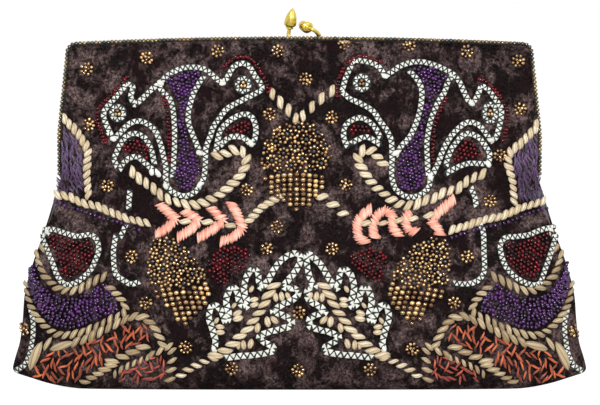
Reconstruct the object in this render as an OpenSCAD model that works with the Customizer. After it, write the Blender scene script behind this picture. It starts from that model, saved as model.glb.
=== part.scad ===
/* [Bag] */
// Width across the bottom of the bag
bag_w = 236; // [210:1:250]
// Height from the base to the beaded top edge
bag_h = 144; // [138:1:156]
// Thickness of the filled pouch from front to back
bag_d = 35; // [30:1:40]
// Height of the hinge axis above the base
hinge_z = 87.5; // [82:0.5:92]

/* [Frame] */
// Half length of the gently crowned top bar, up to its corner
bar_half = 91.3; // [86:0.1:95]
// Radius of the top corners of the frame
corner_r = 4.5; // [4:0.1:8]
// Depth of each metal channel, into which the lining is tucked
channel_depth = 6; // [5:0.1:7]
// Thickness of the channel from front to back
channel_width = 3.45; // [3.2:0.05:4]
// Sheet thickness of the frame
sheet = 0.6; // [0.5:0.05:0.8]

/* [Hinge] */
// Radius of the round ear at the end of each arm
ear_r = 3; // [2.6:0.1:3.4]
// Radius of the hinge rivet's shank
rivet_r = 1; // [0.8:0.05:1.2]

/* [Clasp] */
// Largest radius of the bullet knobs
knob_r = 2.5; // [2.3:0.05:2.6]
// Length of the bullet knobs
knob_l = 8.8; // [8:0.1:9.2]
// Lean of the rear knob towards the front, from upright
rear_lean = 15; // [10:1:25]
// Lean of the front knob towards the back, from upright
front_lean = 75; // [70:1:80]

/* [Beads] */
// Diameter of the edging beads
bead_d = 1.7; // [1.6:0.05:1.9]
// Free space between two neighbouring edging beads
bead_gap = 0.02; // [0.02:0.01:0.2]

/* [Embroidery] */
// Height of the beadwork above the velvet
bead_rise = 1.3; // [1:0.1:1.8]
// Height of the acorns, worked in larger beads
acorn_rise = 2.2; // [1.6:0.1:2.6]
// Width of a braid of two rows of beads
braid_w = 2.8; // [2.4:0.1:3.4]
// Width of a rope of satin stitches
rope_w = 3.2; // [2.6:0.1:4]

/* [Hidden] */
$fn = 48;

// The frame's outer edge, from the middle of the top bar round the corner and down one arm
crown_turn = 2.8;
arm_turn = 6;
arm_bend_r = 60;
arm_straight = 30;
top_r = bar_half / sin(crown_turn);
corner_turn = 90 - crown_turn - arm_turn;
crown_drop = top_r * (1 - cos(crown_turn));
arm_end_z = bag_h - crown_drop
    - corner_r * (cos(crown_turn) - cos(crown_turn + corner_turn))
    - arm_straight * sin(crown_turn + corner_turn)
    - arm_bend_r * cos(90 - arm_turn);
arm_x = bar_half
    + corner_r * (sin(crown_turn + corner_turn) - sin(crown_turn))
    + arm_straight * cos(crown_turn + corner_turn)
    + arm_bend_r * (1 - cos(arm_turn));

// Layers across one half of the closed bag, counted outwards from its middle plane
mate_gap = 0.15;
channel_front = mate_gap + channel_width;
cloth_t = 1;
cloth_gap = 0.1;
cloth_front = channel_front + cloth_gap + cloth_t;
card_t = 0.4;
card_gap = 0.1;
lining_t = 0.4;
lining_in = cloth_t + card_gap + card_t + card_gap;

// Insets from the beaded outer edge: the cloth wrapped over the frame, then the metal itself
wrap_t = 0.5;
wrap_inset = bead_d + 0.05;
edge_inset = wrap_inset + wrap_t + 0.05;
flange_inset = edge_inset + channel_depth;
card_inset = flange_inset + 0.4;
lining_inset = edge_inset + 1.6;
channel_end_z = hinge_z + ear_r + 0.8;

// Rows of the pouch, from the bottom seam up to the fold: share of half the depth, height in the
// middle and height at the side seam as shares of the hinge height, share of half the width
seam_rise = 0.15;
POUCH_ROWS = [
    [0, seam_rise / hinge_z, 0.066, 0.986],
    [0.5, 0, 0.08, 0.996],
    [0.64, 0, 0.088, 0.998],
    [0.86, 0.026, 0.108, 0.996],
    [0.95, 0.075, 0.143, 0.989],
    [0.99, 0.16, 0.205, 0.975],
    [1, 0.29, 0.31, 0.964],
    [0.975, 0.435, 0.445, 0.955],
    [0.895, 0.585, 0.592, 0.925],
    [0.775, 0.72, 0.727, 0.889],
    [0.65, 0.835, 0.84, 0.862],
    [0.575, 0.92, 0.92, 0.844]
];
fold_low = 0.92 * hinge_z + 0.2;
fold_high = hinge_z + 0.4;
upper_low = fold_high + 0.5;
// The upper panel's rows: share of the height from its lower edge to the top bar, and the bulge there
UPPER_ROWS = [[0, 4.9], [0.16, 4.3], [0.34, 3.3], [0.52, 2.2], [0.7, 1.1], [0.84, 0.3], [0.9, 0],
    [0.955, 0], [0.985, 0], [1, 0]];

columns = 12;
bead_r = bead_d / 2;

function clamp(t) = max(0, min(1, t));
function spread(j, n) = sin(90 * (j / n));
function unit(v) = norm(v) < 1e-9 ? [0, -1, 0] : v / norm(v);

// Point of the frame edge at arc length s from the middle of the top bar, inset by d: [x, z, heading]
function walk(s, d, x, z, phi, i = 0) =
    let(r = [top_r, corner_r, 0, arm_bend_r, 0][i],
        turn = [crown_turn, corner_turn, 0, arm_turn, 0][i],
        straight = r == 0,
        long = straight ? (i == 2 ? arm_straight : 1000) : (r - d) * turn * PI / 180)
    s <= long
        ? (straight
            ? [x + s * cos(phi), z - s * sin(phi), phi]
            : let(t = s / (r - d) * 180 / PI)
              [x + (r - d) * (sin(phi + t) - sin(phi)), z - (r - d) * (cos(phi) - cos(phi + t)), phi + t])
        : (straight
            ? walk(s - long, d, x + long * cos(phi), z - long * sin(phi), phi, i + 1)
            : walk(s - long, d, x + (r - d) * (sin(phi + turn) - sin(phi)),
                   z - (r - d) * (cos(phi) - cos(phi + turn)), phi + turn, i + 1));
function edge_at(s, d) = walk(s, d, 0, bag_h - d, 0);
// Arc length along the inset edge at which the arm reaches height z
function arm_length(d, z) =
    ((top_r - d) * crown_turn + (corner_r - d) * corner_turn + (arm_bend_r - d) * arm_turn) * PI / 180
    + arm_straight + arm_end_z - z;
// Half outline of the inset edge, with the turns drawn by short chords, down to height z_end
function half_edge(d, z_end) =
    let(a = (top_r - d) * crown_turn * PI / 180,
        b = a + max(0.01, corner_r - d) * corner_turn * PI / 180,
        c = b + arm_straight,
        e = c + (arm_bend_r - d) * arm_turn * PI / 180,
        f = arm_length(d, z_end))
    [for (s = [0, a / 3, 2 * a / 3, for (k = [0:8]) a + (b - a) * k / 8, c, (c + e) / 2, e, f])
        let(p = edge_at(s, d)) [p[0], p[1]]];
function mirrored(half) = [for (i = [len(half) - 1:-1:1]) [-half[i][0], half[i][1]]];
function full_edge(d, z_end) = concat(mirrored(half_edge(d, z_end)), half_edge(d, z_end));
function reversed(list) = [for (i = [len(list) - 1:-1:0]) list[i]];

// Solid between two grids of points, the outer one first, closed along its four edges
module between(outer, inner) {
    rows = len(outer);
    cols = len(outer[0]);
    count = rows * cols;
    faces = concat(
        [for (i = [0:rows - 2], j = [0:cols - 2])
            let(a = i * cols + j, b = a + 1, c = a + cols, e = c + 1)
            each [[a, e, b], [a, c, e],
                  [count + a, count + b, count + e], [count + a, count + e, count + c]]],
        [for (j = [0:cols - 2])
            let(a = j, b = j + 1, c = (rows - 1) * cols + j, e = c + 1)
            each [[a, b, count + a], [count + a, b, count + b],
                  [e, c, count + e], [count + e, c, count + c]]],
        [for (i = [0:rows - 2])
            let(a = i * cols, b = a + cols, c = a + cols - 1, e = c + cols)
            each [[b, a, count + b], [count + b, a, count + a],
                  [c, e, count + c], [count + c, e, count + e]]]
    );
    polyhedron(points = [for (g = [outer, inner], row = g, p = row) p], faces = faces);
}

// Outward direction of the sheet at a grid point, for a sheet that faces the front
function facing(g, i, j) =
    let(rows = len(g), cols = len(g[0]),
        across = g[i][min(j + 1, cols - 1)] - g[i][max(j - 1, 0)],
        up = g[min(i + 1, rows - 1)][j] - g[max(i - 1, 0)][j])
    unit(cross(across, up));
// The grid moved inwards by t, and kept on its own side of the middle plane, short of it by the seam
function sunk(g, t, seam = 0) = [for (i = [0:len(g) - 1]) [for (j = [0:len(g[0]) - 1])
    let(p = g[i][j] - t * facing(g, i, j)) [p[0], min(p[1], -seam), p[2]]]];

// Cross profile of the belly at s, the share of the half width: round low down, softer near the frame
function belly(s, softness) = pow(1 - pow(min(1, abs(s)), 2.4), softness);

// Front surface of the pouch, from row i, across the columns; the bag stands on the flat strip between
// rows 1 and 2, which is full only in the middle
foot_columns = 3;
foot_rise = 0.1;
function pouch_row(i) =
    let(r = POUCH_ROWS[i], softness = 0.62 + 0.5 * clamp((r[1] - 0.6) / 0.32))
    [for (j = [-columns:columns])
        let(s = spread(j, columns), lift = pow(clamp((abs(s) - 0.7) / 0.3), 2.2))
        [s * r[3] * bag_w / 2,
         -r[0] * bag_d / 2 * belly(s, softness),
         hinge_z * (r[1] + (r[2] - r[1]) * lift) + (i == 1 && abs(j) > foot_columns ? foot_rise : 0)]];
POUCH = [for (i = [0:len(POUCH_ROWS) - 1]) pouch_row(i)];

// Half width of the beaded edge at height z, down the straight and the bend of the arm
arm_top_z = arm_end_z + arm_bend_r * cos(90 - arm_turn);
arm_bend_x = arm_bend_r * (1 - cos(arm_turn));
function edge_half_width(z) =
    z < arm_end_z ? arm_x
    : z < arm_top_z ? arm_x - arm_bend_x * pow((z - arm_end_z) / (arm_top_z - arm_end_z), 2)
    : arm_x - arm_bend_x - (z - arm_top_z) * tan(arm_turn);
// The rows of a layer that has no rounded top corners
SQUARE_ROWS = [for (i = [0:6]) UPPER_ROWS[i], UPPER_ROWS[len(UPPER_ROWS) - 1]];
// How far the upper panel stands out beyond the frame at height z
function bulge_at(z) = lookup((z - upper_low) / (bag_h - wrap_inset - upper_low), UPPER_ROWS);
// Front surface of the upper panel, inset from the beaded edge
function upper_grid(inset, rows = UPPER_ROWS) =
    let(top = bag_h - inset, span = top - upper_low, corner = max(0.4, corner_r - inset))
    [for (row = rows)
        let(z = upper_low + span * row[0],
            end_z = z - crown_drop * row[0],
            rounding = clamp(1 + (end_z - top + crown_drop) / corner),
            half = edge_half_width(end_z) - inset - corner * (1 - sqrt(1 - rounding * rounding)),
            free = edge_half_width(z) - flange_inset - 1)
        [for (j = [-columns:columns])
            let(s = spread(j, columns), x = s * half)
            [x, -cloth_front - bulge_at(z) * belly(clamp(abs(x) / free), 1.25),
             z - crown_drop * s * s * row[0]]]];

// Fold strip between the pouch and the upper panel, clear of the hinge ears
function fold_grid() =
    let(low = POUCH[len(POUCH) - 1], high = upper_grid(wrap_inset)[0], reach = arm_x - 7)
    [for (t = [0, 0.33, 0.67, 1])
        [for (j = [-columns:columns])
            let(a = low[j + columns], b = high[j + columns],
                x = max(-reach, min(reach, a[0] + (b[0] - a[0]) * t)),
                fill = max(abs(a[1] + (b[1] - a[1]) * t), cloth_front))
            [x, -fill, fold_low + (fold_high - fold_low) * t]]];

module front_and_back(back) {
    if (back) mirror([0, 1, 0]) children();
    else children();
}

module panel_lower(back) {
    color("#2b2024") front_and_back(back) between(POUCH, sunk(POUCH, cloth_t));
}

module fold_strip(back) {
    g = fold_grid();
    color("#2b2024") front_and_back(back) between(g, sunk(g, cloth_t));
}

// The panel's face, and its edge turned over the metal as far as the mating line
module panel_upper(back) {
    g = upper_grid(wrap_inset + 0.1);
    color("#2b2024") front_and_back(back) difference() {
        union() {
            between(g, sunk(g, cloth_t));
            frame_strip(wrap_inset, wrap_inset + wrap_t, mate_gap, cloth_front - 0.3);
        }
        stem_hole(back ? rear_stem_x : front_stem_x);
    }
}

// Embroidery: outlines and paths in the front view, [x, height], on the left half
FLOWER_TOP = [[-78, 105], [-80.5, 112], [-75, 120], [-70, 125], [-68, 118], [-64, 119], [-57, 126],
    [-50, 131], [-44, 132], [-37, 129], [-31.5, 125], [-28, 131], [-24, 133], [-19, 130], [-15.5, 122],
    [-23, 118], [-31, 112], [-36, 105], [-38, 98], [-39, 91]];
FLOWER_PETAL = [[-75, 91], [-76, 97], [-74, 104], [-67, 109], [-61, 107], [-57, 100], [-54.5, 91]];
FLOWER_LIP = [[-31, 105], [-26, 111], [-21, 111], [-18.5, 104], [-22, 102], [-28, 102.5]];
FUNNEL = [[-54, 121], [-50.5, 112], [-51, 94], [-42.5, 94], [-46, 106], [-45, 117], [-40, 123],
    [-46, 126.5]];
PANEL_STITCHES = [[-96, 105], [-93.5, 101], [-90.5, 95], [-96.5, 93]];
HEART = [[-105, 64], [-96, 64], [-84, 62.5], [-82, 57], [-86, 48], [-92, 42], [-98, 44], [-102, 53]];
CRESCENT = [[-110, 50], [-106, 42], [-99, 37], [-90, 37], [-80, 42], [-76, 37], [-72, 31], [-80, 27],
    [-92, 22], [-101, 23], [-109, 32]];
CORNER = [[-107, 8], [-100, 17], [-88, 19], [-78, 23], [-66, 27], [-60, 26], [-55, 16], [-53, 6], [-70, 3],
    [-90, 3]];
LEAF_LOBES = [
    [[-35.5, 17], [-37, 30], [-34, 33], [-32.5, 29.5]], [[-29, 30], [-28.5, 39], [-25.5, 39], [-23.5, 34]],
    [[-20.5, 34], [-21, 45], [-17.5, 45.5], [-16, 41]], [[-12.5, 43], [-8, 50], [-2, 54]]
];
LEAF_BASE = [[-2.5, 44], [-6, 34], [-11, 31], [-4, 27], [-10, 23], [-16, 20], [-12, 15], [-22, 12.5],
    [-33, 13]];
MIDRIB = [[-30, 17.5], [-25, 21.5], [-20, 27], [-16, 35]];
FAN = [[-38, 52], [-33, 57], [-21, 57], [-20, 53], [-29, 43], [-35, 42]];
HOOK_LOW = [[-58, 77.5], [-53, 75.5], [-47, 74.5], [-41, 75], [-36, 76.5]];
HOOK_TOP = [[-23, 91], [-23, 94], [-27, 95.5], [-32, 93.5]];
SIDE_ROPE_TOP = [[-96, 110], [-91, 105], [-87, 98], [-86.5, 91]];
SIDE_ROPE_LOW = [[-97, 77], [-90, 75.5], [-78, 72], [-64, 67]];
SIDE_CAP = [[-60, 60.5], [-51, 60.5], [-44, 55], [-39, 49], [-38.5, 43], [-48, 40.5], [-60, 41],
    [-62.5, 51]];
SIDE_NUT = [[-59, 39.5], [-48, 39], [-38.5, 41.5], [-38, 36], [-42, 28], [-47, 25.5], [-54, 32]];
CENTRE_CAP = [[-1.5, 109], [6, 107], [12, 101], [13.5, 94], [12, 92], [-15, 92], [-16, 97], [-11, 105]];
CENTRE_NUT = [[10, 79], [5, 75], [-1, 72], [-7, 75], [-12, 79]];

function flipped(outline) = [for (p = outline) [-p[0], p[1]]];
function both(outlines) = concat(outlines, [for (o = outlines) flipped(o)]);
// Outline of a band of the given width along a path
function band(path, w) =
    let(n = len(path) - 1,
        sides = [for (i = [0:n])
            let(d = unit(path[min(i + 1, n)] - path[max(i - 1, 0)]), away = [-d[1], d[0]] * w / 2)
            [path[i] + away, path[i] - away]])
    concat([for (p = sides) p[0]], [for (i = [n:-1:0]) sides[i][1]]);
function bands(paths, w) = [for (p = paths) band(p, w)];

// What the outlines cut from a layer of the given height on the panel's face
module worked(g, height, outlines) {
    intersection() {
        between(sunk(g, -height), g);
        union() for (o = outlines) rotate([90, 0, 0]) linear_extrude(height = bag_d) polygon(o);
    }
}
// Rows of a grid from the first one given, across the given number of columns on each side
function part_of(g, from, reach) = [for (i = [from:len(g) - 1])
    [for (j = [columns - reach:columns + reach]) g[i][j]]];
upper_face = upper_grid(wrap_inset + 0.1, [for (i = [0:6]) UPPER_ROWS[i]]);
module beadwork_lower() {
    color("#6a3f86") worked(part_of(POUCH, 2, columns), bead_rise, both(concat(
        [HEART, CRESCENT, CORNER, FAN],
        bands(concat(LEAF_LOBES, [LEAF_BASE]), braid_w),
        bands([MIDRIB, HOOK_LOW, SIDE_ROPE_LOW], rope_w))));
}
module acorns_lower() {
    color("#a8783c")
        worked(part_of(POUCH, 3, 6), acorn_rise, concat(both([SIDE_CAP, SIDE_NUT]), [CENTRE_NUT]));
}
module beadwork_upper() {
    color("#e8e4d4") worked(upper_face, bead_rise, both(concat(
        [FUNNEL, PANEL_STITCHES],
        bands([FLOWER_TOP, FLOWER_PETAL, FLOWER_LIP], braid_w),
        bands([HOOK_TOP, SIDE_ROPE_TOP], rope_w))));
}
module acorns_upper() {
    color("#a8783c") worked(part_of(upper_face, 0, 3), acorn_rise, [CENTRE_CAP]);
}

// Card that keeps the cloth flat: a layer behind it, short of the seams and of the frame
module stiffener_lower(back) {
    rows = [for (i = [3:len(POUCH) - 1]) [for (j = [2:2 * columns - 2]) POUCH[i][j]]];
    color("#d8d2c4") front_and_back(back)
        between(sunk(rows, cloth_t + card_gap), sunk(rows, cloth_t + card_gap + card_t));
}

module stiffener_upper(back) {
    g = upper_grid(card_inset, SQUARE_ROWS);
    color("#d8d2c4") front_and_back(back)
        between(sunk(g, cloth_t + card_gap), sunk(g, cloth_t + card_gap + card_t));
}

// Satin pouch: a front piece and a back piece that meet along the bottom and side seams
lining_columns = [0, for (j = [2:2 * columns - 2]) j, 2 * columns];
lining_seam = 0.05;
module lining_pouch() {
    rows = [for (row = POUCH) [for (j = lining_columns) row[j]]];
    color("#8d8478") for (back = [false, true]) front_and_back(back)
        between(sunk(rows, lining_in, lining_seam), sunk(rows, lining_in + lining_t, lining_seam));
}

// Flat satin pocket against the back lining, open at its top
pocket_columns = 4;
pocket_rows = [5, 9];
module slip_pocket() {
    rows = [for (i = [pocket_rows[0]:pocket_rows[1]])
        [for (j = [columns - pocket_columns:columns + pocket_columns]) POUCH[i][j]]];
    depth = lining_in + lining_t + 0.15;
    color("#8d8478") mirror([0, 1, 0]) between(sunk(rows, depth), sunk(rows, depth + lining_t));
}

module lining_upper(back) {
    g = upper_grid(lining_inset, SQUARE_ROWS);
    color("#8d8478") front_and_back(back)
        between(sunk(g, lining_in + 0.25), sunk(g, lining_in + 0.25 + lining_t));
}

// Strip of the frame's outline between two insets, standing from depth a to depth b
module frame_strip(inset_a, inset_b, a, b) {
    translate([0, -a, 0]) rotate([90, 0, 0]) linear_extrude(height = b - a)
        polygon(concat(full_edge(inset_a, channel_end_z), reversed(full_edge(inset_b, channel_end_z))));
}

// One ear: a round end on a short strap, at distance x from the middle, on the front or on its own half
module ear(x, strap_top) {
    for (side = [-1, 1]) translate([side * x - sheet / 2, 0, hinge_z]) difference() {
        union() {
            rotate([0, 90, 0]) cylinder(r = ear_r, h = sheet);
            translate([0, -ear_r, 0]) cube([sheet, ear_r - mate_gap, strap_top]);
        }
        translate([-1, 0, 0]) rotate([0, 90, 0]) cylinder(r = rivet_r + 0.05, h = sheet + 2);
    }
}

web_x = arm_x - edge_inset - sheet / 2;
inner_ear_x = web_x - sheet - 0.15;

module frame_channel(back) {
    color("#c9a24a") front_and_back(back) difference() {
        union() {
            frame_strip(edge_inset, edge_inset + sheet, mate_gap, channel_front);
            frame_strip(edge_inset, flange_inset, mate_gap, mate_gap + sheet);
            frame_strip(edge_inset, flange_inset, channel_front - sheet, channel_front);
            ear(back ? inner_ear_x : web_x, back ? 12 : ear_r + 1.5);
            // The inner ear steps in from the arm on a short joggle
            if (back) for (side = [-1, 1])
                translate([side * (inner_ear_x + web_x) / 2 - 0.4, -ear_r, hinge_z + 8])
                    cube([0.8, ear_r - mate_gap - sheet / 2, 4]);
        }
        stem_hole(back ? rear_stem_x : front_stem_x);
    }
}

bead_depth = channel_front - 0.4;
module bead_edging(back) {
    d = bead_r;
    pitch = bead_d + bead_gap;
    half = floor(arm_length(d, hinge_z + bead_r) / pitch);
    color("#8a6a35") front_and_back(back)
        for (k = [-half:half]) {
            p = edge_at(abs(k) * pitch, d);
            translate([sign(k) * p[0], -bead_depth, p[1]]) sphere(r = bead_r, $fn = 16);
        }
}

// Round wire through the route's points, tapering from radius ra to radius rb at the last point but one
module wire(route, ra, rb, sides = 12) {
    n = len(route) - 1;
    rings = [for (i = [0:n])
        let(dir = unit(route[min(i + 1, n)] - route[max(i - 1, 0)]),
            u = unit(cross(dir, [0, 1, 0.3])), v = cross(dir, u), r = ra + (rb - ra) * min(1, i / (n - 1)))
        [for (k = [0:sides - 1]) route[i] + r * (cos(360 * k / sides) * u + sin(360 * k / sides) * v)]];
    polyhedron(
        points = [for (ring = rings, p = ring) p],
        faces = concat(
            [[for (k = [0:sides - 1]) k]],
            [for (i = [0:n - 1], k = [0:sides - 1])
                let(a = i * sides + k, b = i * sides + (k + 1) % sides)
                each [[a, a + sides, b + sides], [a, b + sides, b]]],
            [[for (k = [sides - 1:-1:0]) n * sides + k]]));
}
// Smooth curve through four handles
function bezier(p, n) = [for (i = [0:n]) let(t = i / n, q = 1 - t)
    q * q * q * p[0] + 3 * q * q * t * p[1] + 3 * q * t * t * p[2] + t * t * t * p[3]];

// Bullet knob along +Z from its seat: collar, groove and ogive nose, with a blind bore for the arm
knob_bore_r = 0.75;
knob_bore_l = 1.5;
module knob() {
    nose = [for (i = [0:12]) let(t = i / 12)
        [knob_r * pow(cos(90 * pow(t, 1.25)), 0.85), 1.9 + (knob_l - 1.9) * t]];
    difference() {
        rotate_extrude() polygon(concat(
            [[0, 0], [1.25, 0], [1.65, 0.35], [1.55, 0.8], [1.3, 0.95], [1.9, 1.15], [knob_r * 0.93, 1.45]],
            [for (i = [0:11]) nose[i]], [[0, knob_l]]));
        translate([0, 0, -1]) cylinder(r = knob_bore_r, h = knob_bore_l + 1, $fn = 24);
    }
}

// Where the two stems stand on the top bars, and the tenon that each passes through the metal
stem_y = 1.2;
front_stem_x = 8.2;
rear_stem_x = -4.6;
stem_r = 1;
tenon_r = 0.6;
stem_foot_z = bag_h - wrap_inset + 0.02;
tenon_head_r = tenon_r + 0.25;
tenon_head_h = 0.35;
tenon_head_z = bag_h - edge_inset - sheet - tenon_head_h - 0.06;
// The tenon's hole, wider below the bar where its peened end lies against the inner flange
module stem_hole(x) {
    low = bag_h - flange_inset - 1;
    translate([x, -stem_y, low]) cylinder(r = tenon_r + 0.05, h = bag_h - low);
    translate([x, -stem_y, low])
        cylinder(r = tenon_head_r + 0.08, h = tenon_head_z + tenon_head_h + 0.03 - low);
}

// Seats and directions of the two knobs: the rear one nearly upright, the front one lying back over the bar
rear_tilt = 10;
front_turn = 30;
rear_seat = [-4.2, 0.8, bag_h + 3.1];
front_seat = [4.2, -3, bag_h + 3.2];
rear_dir = [sin(rear_tilt), -sin(rear_lean) * cos(rear_tilt), cos(rear_lean) * cos(rear_tilt)];
front_dir = [-sin(front_turn), sin(front_lean) * cos(front_turn), cos(front_lean) * cos(front_turn)];

// Turns +Z into a direction
module pointed(dir) {
    u = unit(cross([0, 1, 0.2], dir));
    v = cross(dir, u);
    multmatrix([[u[0], v[0], dir[0], 0], [u[1], v[1], dir[1], 0], [u[2], v[2], dir[2], 0]]) children();
}

module clasp_knob(seat, dir) {
    color("#d4b04c") translate(seat) pointed(dir) knob();
}

// Curved horn from the bar into the knob's bore, and its tenon peened under the bar
module clasp_arm(foot, rise, seat, dir) {
    tip = seat + dir * (knob_bore_l - 0.2);
    color("#c9a24a") {
        wire(concat(bezier([foot, foot + rise, seat - dir * 2.4, seat], 12), [tip]),
             stem_r, knob_bore_r - 0.05);
        translate([foot[0], foot[1], tenon_head_z]) cylinder(r = tenon_r, h = foot[2] - tenon_head_z + 0.3);
        translate([foot[0], foot[1], tenon_head_z]) cylinder(r = tenon_head_r, h = tenon_head_h);
    }
}
module front_clasp_arm() {
    clasp_arm([front_stem_x, -stem_y, stem_foot_z], [0.4, 0, 3.3], front_seat, front_dir);
}
module rear_clasp_arm() {
    clasp_arm([rear_stem_x, stem_y, stem_foot_z], [0.1, 0, 1.6], rear_seat, rear_dir);
}

// Hinge rivet along X: a head outside, the shank through both ears, and a spread end inside
module hinge_rivet(side) {
    outside = web_x + sheet / 2 + 0.1;
    inside = inner_ear_x - sheet / 2 - 0.1;
    color("#b08c3c") translate([side * inside, 0, hinge_z]) rotate([0, side * 90, 0]) rotate_extrude()
        polygon([[0, -0.6], [1.3, -0.6], [1.7, -0.2], [1.7, 0], [rivet_r, 0], [rivet_r, outside - inside],
                 [1.8, outside - inside], [1.8, outside - inside + 0.25], [1.2, outside - inside + 0.75],
                 [0, outside - inside + 0.9]]);
}

panel_lower(false);  // front_panel_lower
panel_lower(true);  // rear_panel_lower
fold_strip(false);  // front_fold_strip
fold_strip(true);  // rear_fold_strip
stiffener_lower(false);  // front_stiffener_lower
stiffener_lower(true);  // rear_stiffener_lower
lining_pouch();
slip_pocket();
beadwork_lower();  // front_beadwork_lower
acorns_lower();  // front_acorns_lower
beadwork_upper();  // front_beadwork_upper
acorns_upper();  // front_acorns_upper
panel_upper(false);  // front_panel_upper
stiffener_upper(false);  // front_stiffener_upper
lining_upper(false);  // front_lining_upper
frame_channel(false);  // front_frame_channel
bead_edging(false);  // front_bead_edging
front_clasp_arm();
clasp_knob(front_seat, front_dir);  // front_clasp_knob
panel_upper(true);  // rear_panel_upper
stiffener_upper(true);  // rear_stiffener_upper
lining_upper(true);  // rear_lining_upper
frame_channel(true);  // rear_frame_channel
bead_edging(true);  // rear_bead_edging
rear_clasp_arm();
clasp_knob(rear_seat, rear_dir);  // rear_clasp_knob
hinge_rivet(-1);  // left_hinge_rivet
hinge_rivet(1);  // right_hinge_rivet
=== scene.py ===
import math
import random

import bpy
import numpy as np
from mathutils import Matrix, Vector, noise
from mathutils.bvhtree import BVHTree


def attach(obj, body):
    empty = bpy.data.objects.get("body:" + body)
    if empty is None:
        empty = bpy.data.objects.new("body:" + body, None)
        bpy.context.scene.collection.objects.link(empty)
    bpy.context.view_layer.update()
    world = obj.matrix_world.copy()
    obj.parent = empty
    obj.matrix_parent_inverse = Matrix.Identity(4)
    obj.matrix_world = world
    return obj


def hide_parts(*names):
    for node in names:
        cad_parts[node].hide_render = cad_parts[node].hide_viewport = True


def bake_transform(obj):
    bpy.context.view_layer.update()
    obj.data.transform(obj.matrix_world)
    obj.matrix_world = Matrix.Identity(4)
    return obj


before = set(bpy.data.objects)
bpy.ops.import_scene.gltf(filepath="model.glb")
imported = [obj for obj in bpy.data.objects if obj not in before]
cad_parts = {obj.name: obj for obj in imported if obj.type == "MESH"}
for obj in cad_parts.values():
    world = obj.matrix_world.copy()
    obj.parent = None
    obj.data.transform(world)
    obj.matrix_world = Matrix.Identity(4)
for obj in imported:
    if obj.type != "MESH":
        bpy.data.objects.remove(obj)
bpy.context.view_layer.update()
bpy.context.scene.view_settings.view_transform = "Standard"

MM = 0.001
PHOTO_SIZE = (600, 405)
PIXEL = 0.41 * MM
# The column of the photograph's frame that the embroidery is mirrored about
MIDDLE_X = 299.0
# The camera stands at this distance from its target, a little above it, and looks along Y
DISTANCE = 1.3
ELEVATION = math.radians(2.5)
TARGET = Vector((0.0002, 0, 0.0759))
BACK = Vector((0, -math.cos(ELEVATION), math.sin(ELEVATION)))
SENSOR = 36.0
LENS = SENSOR * DISTANCE / (PHOTO_SIZE[0] * PIXEL)

# The purse's own sizes in millimetres, as in the solids
BAG_W, BAG_H, BAG_D = 236.0, 144.0, 35.0
HINGE_Z = 87.5
BAR_HALF, CORNER_R = 91.3, 4.5
CROWN_TURN, ARM_TURN = math.radians(2.8), math.radians(6)
ARM_BEND_R, ARM_STRAIGHT = 60.0, 30.0
TOP_R = BAR_HALF / math.sin(CROWN_TURN)
CORNER_TURN = math.pi / 2 - CROWN_TURN - ARM_TURN
CROWN_DROP = TOP_R * (1 - math.cos(CROWN_TURN))
CLOTH_FRONT = 4.7
WRAP_INSET = 1.75
FLANGE_INSET = 8.3
UPPER_LOW = 88.4
ARM_END_Z = (
    BAG_H - CROWN_DROP
    - CORNER_R * (math.cos(CROWN_TURN) - math.cos(CROWN_TURN + CORNER_TURN))
    - ARM_STRAIGHT * math.sin(CROWN_TURN + CORNER_TURN)
    - ARM_BEND_R * math.cos(math.pi / 2 - ARM_TURN)
)
ARM_X = (
    BAR_HALF
    + CORNER_R * (math.sin(CROWN_TURN + CORNER_TURN) - math.sin(CROWN_TURN))
    + ARM_STRAIGHT * math.cos(CROWN_TURN + CORNER_TURN)
    + ARM_BEND_R * (1 - math.cos(ARM_TURN))
)
# How the cloth falls back towards its sides, which it does sooner in the top part of the pouch
BELLY_POWER = 2.4
LOW_SOFTNESS, ADDED_SOFTNESS, UPPER_SOFTNESS = 0.62, 0.5, 1.25
SOFTER_FROM, SOFTER_OVER = 0.6, 0.32
SEAM_RISE_FROM, SEAM_RISE_OVER, SEAM_RISE_POWER = 0.7, 0.3, 2.2
# Share of half the depth, heights in the middle and at the side, share of half the width
POUCH_ROWS = [
    (0, 0, 0.066, 0.986), (0.33, 0, 0.074, 0.993), (0.64, 0, 0.088, 0.998), (0.86, 0.026, 0.108, 0.996),
    (0.95, 0.075, 0.143, 0.989), (0.99, 0.16, 0.205, 0.975), (1, 0.29, 0.31, 0.964),
    (0.975, 0.435, 0.445, 0.955), (0.895, 0.585, 0.592, 0.925), (0.775, 0.72, 0.727, 0.889),
    (0.65, 0.835, 0.84, 0.862), (0.575, 0.92, 0.92, 0.844),
]
# Share of the height from the panel's lower edge to the top bar, and how far it stands out there
UPPER_ROWS = [(0, 4.9), (0.16, 4.3), (0.34, 3.3), (0.52, 2.2), (0.7, 1.1), (0.84, 0.3), (0.9, 0),
              (0.955, 0), (0.985, 0), (1, 0)]
BORE_SHADE = (0.002, 0.002, 0.002)
# Numbers of the sockets whose names occur more than once in their node
MIX_SHARE, MIX_FIRST, MIX_SECOND, MIX_COLOUR = 0, 6, 7, 2
RANDOM_LOW, RANDOM_HIGH, RANDOM_FLOAT = 2, 3, 1


# Shader and geometry graphs

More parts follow.
